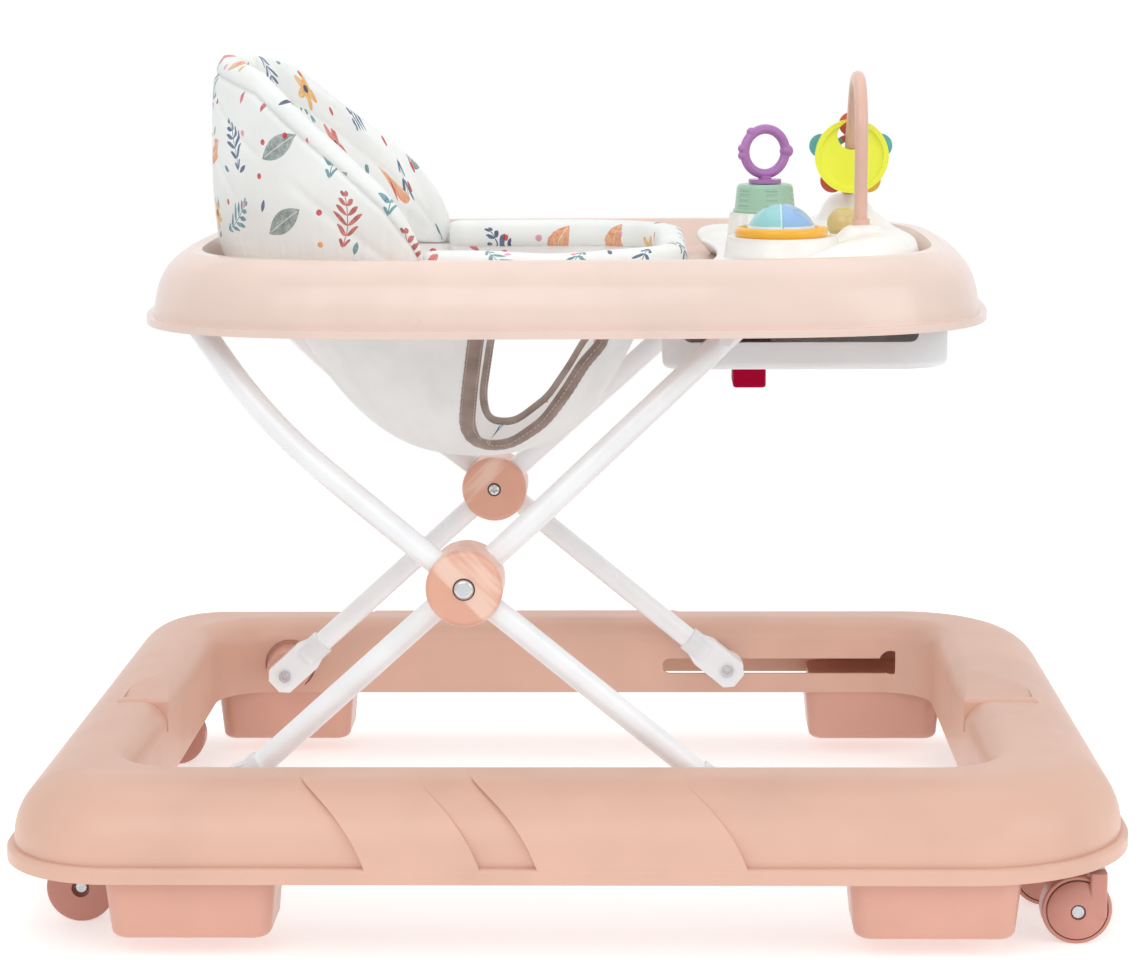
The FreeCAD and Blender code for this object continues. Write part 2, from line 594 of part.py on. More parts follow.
def pivot_rivet():
    shaft = cyl_y(PIVOT[0], PIVOT[1], BOLT_RADIUS, DISC_INNER_FACE + 2.0, DISC_OUTER_FACE)
    head = cyl_y(PIVOT[0], PIVOT[1], 6.5, DISC_OUTER_FACE, DISC_OUTER_FACE + 3.0)
    edge = [e for e in head.Edges if abs(e.BoundBox.YMin - DISC_OUTER_FACE - 3.0) < 0.01]
    return fused(head.makeFillet(2.4, edge), shaft)


def slide_shoe():
    """Button that runs in the base slot: flange, neck and a head behind the wall."""
    y_in = PLANE_B + 0.5 * CAP_THICKNESS
    wall_in, wall_out = OPENING_HALF_WIDTH, OPENING_HALF_WIDTH + BASE_WALL
    flange = cyl_y(SLIDE[0], SLIDE[1], 13.0, y_in, wall_in - 0.3)
    neck = cyl_y(SLIDE[0], SLIDE[1], SHOE_RADIUS, wall_in - 1, wall_out + 1)
    head = cyl_y(SLIDE[0], SLIDE[1], KEYHOLE_RADIUS - 0.8, wall_out + 0.3, wall_out + 3.3)
    bore = cyl_y(SLIDE[0], SLIDE[1], BOLT_RADIUS, 0, wall_out + 2)
    return fused(flange, neck, head).cut(bore)


def shoe_screw():
    y_in = PLANE_B - 0.5 * CAP_THICKNESS
    shaft = cyl_y(SLIDE[0], SLIDE[1], BOLT_RADIUS, y_in, OPENING_HALF_WIDTH + BASE_WALL + 2)
    head = cyl_y(SLIDE[0], SLIDE[1], 4.5, y_in - 2.0, y_in)
    socket = cyl_y(SLIDE[0], SLIDE[1], 2.0, y_in - 3, y_in - 0.8)
    return fused(shaft, head).cut(socket)


def slide_rod():
    reach = TOP_A + TUBE_RADIUS + 1.5
    return cyl_y(SLOT_ROD[0], SLOT_ROD[1], ROD_RADIUS, -reach, reach)


# ---- tray ------------------------------------------------------------------------------------
def tray_outline(inset, z, power=TRAY_POWER):
    """Superellipse |x/a|^n + |y/b|^n = 1 about the tray's centre, drawn as one closed spline."""
    a = TRAY_HALF_LENGTH - inset
    b = TRAY_HALF_WIDTH - inset
    points = []
    steps = 40
    for i in range(steps):
        angle = 2 * math.pi * (i + 0.5) / steps
        c, s = math.cos(angle), math.sin(angle)
        x = a * math.copysign(abs(c) ** (2 / power), c)
        y = b * math.copysign(abs(s) ** (2 / power), s)
        points.append(V(TRAY_CENTRE_X + x, y, z))
    curve = Part.BSplineCurve()
    curve.interpolate(Points=points, PeriodicFlag=True)
    return Part.Wire([curve.toShape()])


def tray_body(inset):
    """Outside of the tray from the bead line up over the rounded rim, shrunk by inset."""
    levels = ((3.0, TRAY_BOTTOM), (8.0, TRAY_TOP - 23.0), (12.5, TRAY_TOP - 13.0), (19.0, TRAY_TOP - 5.5),
              (RIM_INSET - 5.0, TRAY_TOP))
    wires = []
    for step, z in levels:
        lower = inset if z > TRAY_BOTTOM else 0.0
        wires.append(tray_outline(step + inset, z - lower))
    return Part.makeLoft(wires, True, False)


def tray_recess(grow):
    """The sunk floor of the tray; grow moves its walls outwards and its floor down."""
    low = tray_outline(RECESS_INSET - grow, TRAY_FLOOR - grow)
    high = tray_outline(RIM_INSET + 3.0 - grow, TRAY_TOP + 1.0)
    return Part.makeLoft([low, high], True, True)


def tray_cavity():
    body = tray_body(TRAY_WALL)
    return body.cut(tray_recess(TRAY_WALL))


def seat_hole(z0, z1, inset=0.0):
    """Seat opening: round at the rear, a rounded rectangle at the front."""
    radius = SEAT_HOLE_RADIUS - inset
    outline = rounded_rect(SEAT_CENTRE_X - radius, SEAT_HOLE_FRONT - inset, radius, z0, radius - 0.01,
                           SEAT_HOLE_CORNER - inset)
    return prism(outline, V(0, 0, z1 - z0))


def upper_tray(cavity):
    bead = prism(tray_outline(0.0, TRAY_BOTTOM), V(0, 0, 5.0))
    bead = bead.cut(prism(tray_outline(3.0 + TRAY_WALL, TRAY_BOTTOM - 1), V(0, 0, 7.0)))
    body = tray_body(0.0).cut(cavity)
    body = body.cut(tray_recess(0.0))
    body = body.fuse(bead)
    return body.cut(seat_hole(TRAY_BOTTOM - 5, TRAY_TOP + 5))


def tray_bracket(cavity):
    """Clevis under the rear of the tray, one ear each side of the bent tube."""
    x, z = TRAY_HINGE
    solids = []
    gap = TUBE_RADIUS + EAR_GAP
    for y0, y1 in ((TOP_B - gap - 3.5, TOP_B - gap), (TOP_B + gap, TOP_B + gap + 3.5)):
        ear = fused(box(x - 7.5, x + 7.5, y0, y1, z, TRAY_TOP), cyl_y(x, z, 7.5, y0, y1)).common(cavity)
        solids.append(ear.cut(cyl_y(x, z, BOLT_RADIUS, 0, 400)))
    return solids


def tray_pin():
    x, z = TRAY_HINGE
    half = TUBE_RADIUS + EAR_GAP + 3.5
    shaft = cyl_y(x, z, BOLT_RADIUS, TOP_B - half - 1.0, TOP_B + half + 1.0)
    heads = [cyl_y(x, z, 4.5, TOP_B - half - 2.2, TOP_B - half), cyl_y(x, z, 4.5, TOP_B + half, TOP_B + half + 2.2)]
    return fused(shaft, *heads)


def catch_housing():
    """Shallow white box under the front of the tray, slotted for the slide rod."""
    outline = rounded_rect(HOUSING_REAR, HOUSING_FRONT, HOUSING_HALF_WIDTH, HOUSING_BOTTOM, 14.0, 34.0)
    body = prism(outline, V(0, 0, TRAY_FLOOR - TRAY_WALL - HOUSING_BOTTOM))
    body = body.makeFillet(5.0, edges_at_top(body, HOUSING_BOTTOM))
    w = HOUSING_WALL
    floor = HOUSING_BOTTOM + w
    inner = rounded_rect(HOUSING_REAR + w, HOUSING_FRONT - w, HOUSING_HALF_WIDTH - w, floor, 11.0, 31.0)
    body = body.cut(prism(inner, V(0, 0, 100)))
    half = ROD_RADIUS + ROD_GAP
    slot = stadium(ROD_SLOT_REAR, ROD_SLOT_FRONT, SLOT_ROD[1], half, -HOUSING_HALF_WIDTH - 5,
                   HOUSING_HALF_WIDTH + 5)
    window = box(CATCH_X - 12.5, CATCH_X + 12.5, -21.0, 21.0, HOUSING_BOTTOM - 1, floor + 1)
    guide = box(CATCH_X - 14, CATCH_X + 14, 26.3, 28.8, floor - 1, floor + CATCH_TRAVEL + 4.0)
    return cut_all(fused(body, *both_sides(guide)), slot, window)


def release_catch():
    """Red pull: a handle under the housing and a flange that slides between two guide ribs."""
    floor = HOUSING_BOTTOM + HOUSING_WALL
    low = HOUSING_BOTTOM - 27.5
    handle = box(CATCH_X - 11.5, CATCH_X + 11.5, -20, 20, low, floor + CATCH_TRAVEL + 0.5)
    handle = handle.makeFillet(3.0, [e for e in handle.Edges if e.BoundBox.ZLength > 5])
    handle = handle.makeFillet(2.0, edges_at_top(handle, low))
    flange = box(CATCH_X - 16, CATCH_X + 16, -26, 26, floor + CATCH_TRAVEL + 0.3, floor + CATCH_TRAVEL + 3.3)
    tooth = box(CATCH_X - 4, CATCH_X + 4, -14, 14, floor + CATCH_TRAVEL + 3.0, SLOT_ROD[1] - ROD_RADIUS - 1.0)
    return fused(handle, flange, tooth)


# ---- seat ------------------------------------------------------------------------------------
def seat_back():
    """High padded back that wraps round to both sides and slopes down at its wings."""
    profile = ((0.833, 0), (0.93, 0), (0.974, 0.149), (1.0, 0.365), (0.994, 0.622), (0.955, 0.892), (0.872, 1.027),
               (0.821, 1.027), (0.84, 0.757), (0.859, 0.419))
    face = Part.Face(polygon([V(SEAT_BACK_RADIUS * r, 0, TRAY_FLOOR + max(SEAT_BACK_HEIGHT * h, SEAT_GAP))
                              for r, h in profile]))
    body = face.revolve(V(0, 0, 0), V(0, 0, 1), 180)
    body.rotate(V(0, 0, 0), V(0, 0, 1), 90)
    body.translate(V(SEAT_CENTRE_X, 0, 0))
    shares = ((-1.058, 0.946), (-0.891, 1.0), (-0.686, 0.919), (-0.506, 0.764), (-0.314, 0.595), (-0.141, 0.419),
              (-0.038, 0.264), (0.045, 0.068))
    crest = [V(SEAT_CENTRE_X + SEAT_BACK_RADIUS * r, 0, TRAY_FLOOR + SEAT_BACK_HEIGHT * h) for r, h in shares]
    top = Part.BSplineCurve()
    top.interpolate(crest)
    above = TRAY_FLOOR + 1.4 * SEAT_BACK_HEIGHT
    roof = Part.makePolygon([crest[-1], V(crest[-1].x, 0, above), V(crest[0].x, 0, above), crest[0]])
    cutter = prism(Part.Wire([top.toShape()] + roof.Edges), V(0, 3 * SEAT_BACK_RADIUS, 0))
    cutter.translate(V(0, -1.5 * SEAT_BACK_RADIUS, 0))
    return body.cut(cutter)


def seat_rim():
    """Low padded roll round the front of the seat opening."""
    low = TRAY_FLOOR + SEAT_GAP
    front = SEAT_HOLE_FRONT + 19.0
    outside = SEAT_HOLE_RADIUS + 2.0
    outer = rounded_rect(SEAT_CENTRE_X + SEAT_GAP, front, outside, low, 1.0, SEAT_HOLE_CORNER + 8.0)
    pad = prism(outer, V(0, 0, SEAT_RIM_HEIGHT))
    pad = pad.makeFillet(7.0, edges_at_top(pad, low + SEAT_RIM_HEIGHT))
    inner = rounded_rect(SEAT_CENTRE_X - 40, front - 25.0, outside - 22.0, low - 1, 1.0, SEAT_HOLE_CORNER - 12.0)
    return pad.cut(prism(inner, V(0, 0, 3 * SEAT_RIM_HEIGHT)))


def sling_section(z, inset):
    """Oval section of the sling at height z; it narrows towards the bottom."""
    depth = max(0.0, min(1.0, (z - SEAT_BOTTOM) / (TRAY_FLOOR - SEAT_BOTTOM)))
    half_length = 0.5 * (SLING_FRONT - SLING_REAR)
    a = max(half_length * depth ** 0.37 - inset, 1.0)
    b = max(SLING_HALF_WIDTH * depth ** 0.36 - inset, 1.0)
    centre = 0.5 * (SLING_FRONT + SLING_REAR) + 9.0 * (1 - depth)
    points = []
    for i in range(24):
        angle = 2 * math.pi * i / 24
        points.append(V(centre + a * math.cos(angle), b * math.sin(angle), z))
    curve = Part.BSplineCurve()
    curve.interpolate(Points=points, PeriodicFlag=True)
    return Part.Wire([curve.toShape()])


def sling_bowl(inset):
    top = TRAY_FLOOR - SEAT_GAP
    wires = []
    for depth in (0.02, 0.07, 0.18, 0.38, 0.65, 1.0):
        z = SEAT_BOTTOM + inset + depth * (top - SEAT_BOTTOM - inset)
        wires.append(sling_section(z - 0.6 * inset * (1 - depth), inset))
    return Part.makeLoft(wires, True, False)


def leg_hole(grow):
    """Teardrop leg opening seen from the side, as a prism through one side of the sling."""
    g = grow
    outline = ((0.08, 0.73, -g, 0), (0.037, 0.414, -g, 0), (0.066, 0.203, -g, -0.5 * g), (0.195, 0.09, 0, -g),
               (0.396, 0.188, 0.4 * g, -g), (0.525, 0.383, g, -0.4 * g), (0.726, 0.684, g, 0), (0.41, 0.805, 0, g))
    half_length = 0.5 * (SLING_FRONT - SLING_REAR)
    middle = 0.5 * (SLING_FRONT + SLING_REAR)
    depth = TRAY_FLOOR - SEAT_BOTTOM
    curve = Part.BSplineCurve()
    curve.interpolate(Points=[V(middle + half_length * x + gx, 0, SEAT_BOTTOM + depth * h + gz)
                              for x, h, gx, gz in outline], PeriodicFlag=True)
    return prism(Part.Wire([curve.toShape()]), V(0, 1.6 * SLING_HALF_WIDTH, 0))


def seat_sling(outer, inner):
    hole = leg_hole(BINDING_WIDTH)
    hole.translate(V(0, SLING_HALF_WIDTH / 3, 0))
    return cut_all(outer.cut(inner), hole, mirrored(hole))


def leg_binding(outer, inner):
    """Tape round a leg opening, the same thickness as the sling."""
    big = leg_hole(BINDING_WIDTH)
    big.translate(V(0, SLING_HALF_WIDTH / 3, 0))
    small = leg_hole(0.0)
    small.translate(V(0, 0.3 * SLING_HALF_WIDTH, 0))
    band = outer.cut(inner).common(big).cut(small)
    return max(band.Solids, key=lambda s: s.Volume)


# ---- toys ------------------------------------------------------------------------------------
def turned(profile, x, y, smooth=()):
    """Solid of revolution about the vertical through (x, y); profile is (radius, height) pairs."""
    points = [V(r, 0, TOY_DECK + h) for r, h in profile]
    edges = [Part.LineSegment(a, b).toShape() for a, b in zip(points, points[1:])]
    if smooth:
        curve = Part.BSplineCurve()
        curve.interpolate([points[-1]] + [V(r, 0, TOY_DECK + h) for r, h in smooth])
        edges.append(curve.toShape())
        points.append(V(smooth[-1][0], 0, TOY_DECK + smooth[-1][1]))
    edges.append(Part.LineSegment(points[-1], points[0]).toShape())
    body = Part.Face(Part.Wire(edges)).revolve(V(0, 0, 0), V(0, 0, 1), 360)
    body.translate(V(x, y, 0))
    return body


def mound(x, y, radius, height, edge):
    body = cyl_z(x, y, radius, TRAY_FLOOR + 1.0, TOY_DECK + height)
    return body.makeFillet(edge, edges_at_top(body, TOY_DECK + height))


def far_boss():
    """High boss that takes the sloping leg of the arch."""
    return mound(ARCH_X - 1, ARCH_FAR_Y, 21.0, FAR_BOSS_HEIGHT, 14.0)


def front_ridge():
    """Raised ridge that follows the front edge of the play tray."""
    low = TRAY_FLOOR + 1.0
    ridge = prism(tray_outline(RECESS_INSET + 5.0, low), V(0, 0, TOY_DECK + RIDGE_HEIGHT - low))
    front = TRAY_FRONT - RECESS_INSET - 5.0
    keep = prism(rounded_rect(front - RIDGE_WIDTH, front + 40, 112.0, low - 1, 24.0, 1.0), V(0, 0, 90))
    keep.translate(V(0, 8.0, 0))
    ridge = ridge.common(keep)
    return ridge.makeFillet(9.0, edges_at_top(ridge, TOY_DECK + RIDGE_HEIGHT))


def toy_tray():
    """Raised white play tray: lobed rear edge, plateaus and bosses for the toys."""
    low = TRAY_FLOOR + SEAT_GAP
    plate = prism(tray_outline(RECESS_INSET + 2.0, low), V(0, 0, TOY_DECK - low))
    plate = plate.cut(box(-400, TOY_TRAY_REAR, -300, 300, 300, 600))
    bites = [cyl_z(TOY_TRAY_REAR - 4, y, 18.0, 300, 600) for y in (-2.0, 132.0)]
    plate = cut_all(plate, *bites)
    plate = plate.makeFillet(6.0, edges_at_top(plate, TOY_DECK))
    mounds = [mound(DOME_X, DOME_Y, 37.0, 13.0, 4.0), mound(CUP_X, CUP_Y, 24.5, 23.5, 3.0), far_boss(),
              mound(ARCH_X + 3, ARCH_NEAR_Y, 15.0, NEAR_BOSS_HEIGHT, 5.0), mound(KNOB_X, KNOB_Y, 17.0, 6.0, 3.0),
              mound(TOY_TRAY_REAR + 26, ARCH_FAR_Y + 30, 24.0, 8.0, 6.0), front_ridge()]
    bores = [cyl_z(DOME_X, DOME_Y, 3.0 + RUNNING_CLEARANCE, TOY_DECK, 600),
             cyl_z(KNOB_X, KNOB_Y, KNOB_STEM_RADIUS + RUNNING_CLEARANCE, TOY_DECK - 9.5, 600),
             cyl_z(ARCH_X, ARCH_NEAR_Y, ARCH_RADIUS, TOY_DECK + 12, 600)]
    return cut_all(fused(plate, *mounds), *bores)


def arch_path():
    """Near leg upright, a round top, then a far leg that slopes down to its boss."""
    centre_y = ARCH_NEAR_Y + ARCH_BEND
    spring = TOY_DECK + 80.0
    foot_z = TOY_DECK + 31.0
    dy = ARCH_FAR_Y - centre_y
    dz = foot_z - spring
    reach = math.hypot(dy, dz)
    tangent = math.atan2(dz, dy) + math.acos(ARCH_BEND / reach)
    leave = V(ARCH_X, centre_y + ARCH_BEND * math.cos(tangent), spring + ARCH_BEND * math.sin(tangent))
    top_angle = 0.5 * (math.pi + tangent)
    top = V(ARCH_X, centre_y + ARCH_BEND * math.cos(top_angle), spring + ARCH_BEND * math.sin(top_angle))
    enter = V(ARCH_X, ARCH_NEAR_Y, spring)
    return V(ARCH_X, ARCH_NEAR_Y, TOY_DECK + 14.0), enter, top, leave, V(ARCH_X, ARCH_FAR_Y, foot_z)


def arch_bar():
    start, enter, top, leave, end = arch_path()
    path = Part.Wire([Part.LineSegment(start, enter).toShape(), Part.Arc(enter, top, leave).toShape(),
                      Part.LineSegment(leave, end).toShape()])
    section = Part.Wire([Part.makeCircle(ARCH_RADIUS, start, V(0, 0, 1))])
    bar = path.makePipeShell([section], True, False)
    return bar.cut(far_boss())


def bar_point(y):
    """Height of the far leg's centre line at y."""
    _, _, _, leave, end = arch_path()
    return leave.z + (end.z - leave.z) * (y - leave.y) / (end.y - leave.y)


def arch_collar():
    low = TOY_DECK + NEAR_BOSS_HEIGHT
    ring = cyl_z(ARCH_X, ARCH_NEAR_Y, 6.2, low, low + 4.5)
    return ring.cut(cyl_z(ARCH_X, ARCH_NEAR_Y, ARCH_RADIUS, TOY_DECK, low + 10.0))


def toy_cup():
    """Upturned cup with a flange and two grooves."""
    profile = ((0, 23.5), (22.3, 23.5), (22.3, 26.5), (20.2, 27.1), (19.8, 32.5), (18.8, 33.1), (18.8, 34.1),
               (19.5, 34.7), (18.6, 41), (16, 43.5), (0, 43.5))
    return turned(profile, CUP_X, CUP_Y).cut(cyl_z(CUP_X, CUP_Y, 3.0 + RUNNING_CLEARANCE, TOY_DECK + 30, 600))


def ring_rattle():
    """Teething ring standing on a thin disc that turns on the cup."""
    major, minor = 15.6, 3.4
    centre = TOY_DECK + 65.8
    ring = Part.makeTorus(major, minor, V(0, 0, centre), V(0, 1, 0))
    nubs = []
    for degrees, radius, reach in ((128, 3.6, 17.0), (172, 3.2, 17.5), (188, 3.2, 17.5), (0, 4.8, 16.5)):
        angle = math.radians(degrees)
        nubs.append(Part.makeSphere(radius, V(reach * math.cos(angle), 0, centre + reach * math.sin(angle))))
    neck = cyl_z(0, 0, 4.5, TOY_DECK + 45.8, TOY_DECK + 49)
    disc = cyl_z(0, 0, 11.5, TOY_DECK + 43.8, TOY_DECK + 46.5)
    pin = cyl_z(0, 0, 3.0, TOY_DECK + 31, TOY_DECK + 45)
    body = fused(ring, neck, disc, pin, *nubs)
    body.rotate(V(0, 0, 0), V(0, 0, 1), 22)
    body.translate(V(CUP_X, CUP_Y, 0))
    return body


def spinner_ring():
    profile = ((24.0, 13.0), (28.5, 13.0), (31.3, 16.5), (30.0, 20.0), (26.5, 21.3), (24.0, 20.5))
    return turned(profile, DOME_X, DOME_Y)


def spinner_dome():
    """Shallow sphere cap on a short skirt and a pin."""
    radius = 25.0
    cap = Part.makeSphere(radius, V(DOME_X, DOME_Y, TOY_DECK + 36.5 - radius))
    cap = cap.common(cyl_z(DOME_X, DOME_Y, 23.4, TOY_DECK + 19.5, TOY_DECK + 50))
    skirt = cyl_z(DOME_X, DOME_Y, 23.4, TOY_DECK + 13.3, TOY_DECK + 20.0)
    pin = cyl_z(DOME_X, DOME_Y, 3.0, TOY_DECK + 1, TOY_DECK + 15)
    return fused(cap, skirt, pin)


def press_knob():
    profile = ((0, -4.5), (KNOB_STEM_RADIUS, -4.5), (KNOB_STEM_RADIUS, 10.5), (10, 10.5), (12, 13.5), (12, 18))
    return turned(profile, KNOB_X, KNOB_Y, smooth=((11, 22.3), (8, 26), (4.2, 27.7), (0, 28)))


def hanging_disc():
    """Thin disc with a raised rim that hangs on the sloping leg of the arch."""
    y = 32.0
    bar = bar_point(y)
    centre = bar - 14.0
    disc = cyl_y(ARCH_X, centre, 26.0, y - 3.0, y + 3.0)
    for y0, y1 in ((y - 4.0, y - 1.0), (y + 1.0, y + 4.0)):
        disc = disc.cut(cyl_y(ARCH_X, centre, 22.5, y0, y1))
    return disc.cut(cyl_y(ARCH_X, bar + 0.8, 10.2, y - 5, y + 5))


def petal_rattle():
    """Rotor of five rounded petals threaded on the arch behind the disc."""
    y = 44.0
    bar = bar_point(y)
    hub = cyl_y(ARCH_X, bar, 15.0, y - 2.5, y + 2.5)
    petals = []
    for i in range(5):
        angle = math.radians(90 + 72 * i)
        px, pz = ARCH_X + 22.0 * math.cos(angle), bar + 22.0 * math.sin(angle)
        petals.append(cyl_y(px, pz, 8.5, y - 2.5, y + 2.5))
    return fused(hub, *petals).cut(cyl_y(ARCH_X, bar, 10.2, y - 5, y + 5))


# ---- build -----------------------------------------------------------------------------------
def build_base():
    cavity = base_cavity()
    export("base_shell", base_shell())
    export("foot_blocks", *foot_blocks(cavity))
    export("caster_sockets", *caster_sockets(cavity))
    export("caster_collars", *caster_collars())
    export("rear_wheel_brackets", *both_sides(rear_bracket(cavity)))
    export("rear_axle_screws", *both_sides(rear_axle()))
    export("hinge_spacers", *both_sides(hinge_spacer()))
    export("hinge_bolts", *both_sides(hinge_bolt()))


def build_wheels():
    for name, x, y in CASTER_STEMS:
        pieces = (("caster_fork_", caster_fork(x, y)), ("caster_axle_", caster_axle(x, y)),
                  ("caster_wheel_", caster_wheel(x, y)))
        for prefix, shape in pieces:
            export(prefix + "left_" + name, shape)
            export(prefix + "right_" + name, mirrored(shape))
    rear = wheel(REAR_WHEEL_X, REAR_WHEEL_FACE - WHEEL_WIDTH, REAR_WHEEL_FACE, 6.0, 5.0)
    export("rear_wheel_left", rear)
    export("rear_wheel_right", mirrored(rear))


def build_frame():
    export("straight_tube_left", tube_a())
    export("straight_tube_right", mirrored(tube_a()))
    export("straight_tube_caps", *both_sides(end_cap(HINGE, PIVOT, PLANE_A, BOLT_RADIUS + RUNNING_CLEARANCE)))
    export("slide_rod", slide_rod())
    channel = bent_tube(tube_a_path(), [TUBE_BEND], TUBE_RADIUS + 0.05)
    inner = pivot_disc(DISC_INNER_FACE, PLANE_B - TUBE_RADIUS - 1.3, channel, BOLT_RADIUS + RUNNING_CLEARANCE,
                       DISC_INNER_FACE)
    export("inner_pivot_discs", *both_sides(inner))
    export("bent_tube_left", tube_b())
    export("bent_tube_right", mirrored(tube_b()))
    export("bent_tube_caps", *both_sides(end_cap(SLIDE, PIVOT, PLANE_B, BOLT_RADIUS)))
    channel = bent_tube(tube_b_path(), [TUBE_BEND, KNEE_BEND], TUBE_RADIUS + 0.05)
    outer = pivot_disc(PLANE_A + TUBE_RADIUS + 1.3, DISC_OUTER_FACE, channel, BOLT_RADIUS, DISC_OUTER_FACE)
    export("outer_pivot_discs", *both_sides(outer))
    export("pivot_rivets", *both_sides(pivot_rivet()))
    export("slide_shoes", *both_sides(slide_shoe()))
    export("shoe_screws", *both_sides(shoe_screw()))


def build_tray():
    cavity = tray_cavity()
    export("upper_tray", upper_tray(cavity))
    ears = tray_bracket(cavity)
    export("tray_brackets", *(ears + [mirrored(ear) for ear in ears]))
    export("tray_hinge_pins", *both_sides(tray_pin()))
    export("catch_housing", catch_housing())
    export("release_catch", release_catch())


def build_seat():
    export("seat_back_pad", seat_back())
    export("seat_rim_pad", seat_rim())
    outer, inner = sling_bowl(0.0), sling_bowl(SLING_WALL)
    export("seat_sling", seat_sling(outer, inner))
    export("leg_bindings", *both_sides(leg_binding(outer, inner)))


def build_toys():
    export("toy_tray", toy_tray())
    export("arch_bar", arch_bar())
    export("arch_collar", arch_collar())
    export("toy_cup", toy_cup())
    export("ring_rattle", ring_rattle())
    export("spinner_ring", spinner_ring())
    export("spinner_dome", spinner_dome())
    export("press_knob", press_knob())
    export("hanging_disc", hanging_disc())
    export("petal_rattle", petal_rattle())


def main():
    os.makedirs("parts", exist_ok=True)
    build_base()
    build_wheels()
    build_frame()
    build_tray()
    build_seat()
    build_toys()


main()
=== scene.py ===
import json
import math

import bmesh
import bpy
import numpy as np
from mathutils import Matrix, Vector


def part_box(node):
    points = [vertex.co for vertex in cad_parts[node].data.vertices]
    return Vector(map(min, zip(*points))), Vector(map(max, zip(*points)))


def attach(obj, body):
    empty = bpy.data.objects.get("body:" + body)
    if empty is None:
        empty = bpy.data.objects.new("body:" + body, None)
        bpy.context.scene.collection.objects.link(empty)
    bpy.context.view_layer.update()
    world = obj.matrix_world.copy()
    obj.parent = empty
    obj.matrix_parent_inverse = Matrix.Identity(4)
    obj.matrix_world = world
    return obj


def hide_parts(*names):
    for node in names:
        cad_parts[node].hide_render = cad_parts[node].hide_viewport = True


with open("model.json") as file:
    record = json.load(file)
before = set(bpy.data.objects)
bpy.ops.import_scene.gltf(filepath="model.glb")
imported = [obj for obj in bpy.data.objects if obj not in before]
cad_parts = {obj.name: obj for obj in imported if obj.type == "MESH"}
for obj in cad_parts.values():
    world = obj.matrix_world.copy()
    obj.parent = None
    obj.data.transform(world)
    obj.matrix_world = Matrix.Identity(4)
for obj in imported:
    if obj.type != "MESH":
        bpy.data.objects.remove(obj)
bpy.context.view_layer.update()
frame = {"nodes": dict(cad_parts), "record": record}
TAU = 2 * math.pi
MM = 0.001
DEGREE = math.pi / 180
SLANT = 0.7071  # sine and cosine of 45 degrees
DOME_AT = (0.1415, -0.075)
CUP_AT = (0.134, 0.015)
KNOB_AT = (0.188, -0.014)
PETALS_AT = [0.5 * (a + b) for a, b in zip(*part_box("petal_rattle"))]


def assign(thing, **settings):
    """Sets attributes of a Blender thing and gives it back."""
    for key, value in settings.items():
        setattr(thing, key, value)
    return thing


def stacked(*values):
    """The values, brought to one shape, along a new last axis."""
    return np.stack(np.broadcast_arrays(*values), axis=-1)


def unit(v):
    """Vectors of length 1 in the same directions."""
    return v / np.linalg.norm(v, axis=-1, keepdims=True)


# ---- shader wiring ----
def maths(operation, swapped=False):
    """A method of Wire that adds a Math node, with the wire first or, when swapped, second."""

    def method(wire, other=0.0):
        first, second = (other, wire) if swapped else (wire, other)
        return wire.finish.node("Math", {"operation": operation}, {0: first, 1: second})

    return method


class Wire:
    """A shader socket: arithmetic on it adds the Math node for it."""

    def __init__(self, finish, socket):
        self.finish = finish
        self.socket = socket

    __add__ = __radd__ = maths("ADD")
    __mul__ = __rmul__ = maths("MULTIPLY")
    __sub__ = maths("SUBTRACT")
    __rsub__ = maths("SUBTRACT", swapped=True)
    __truediv__ = maths("DIVIDE")
    __mod__ = maths("FLOORED_MODULO")
    __lt__ = maths("LESS_THAN")
    __gt__ = maths("GREATER_THAN")
    __abs__ = maths("ABSOLUTE")
    sin = maths("SINE")
    cos = maths("COSINE")
    sqrt = maths("SQRT")
    either = maths("MAXIMUM")
    turn = maths("ARCTAN2")  # angle of the point (other, self)

    def soft(self, low, high):
        """0 below low, 1 above high, smooth between."""
        return self.finish.node(
            "MapRange", {"interpolation_type": "SMOOTHSTEP"},
            {0: self, 1: low, 2: high, 3: 0.0, 4: 1.0})


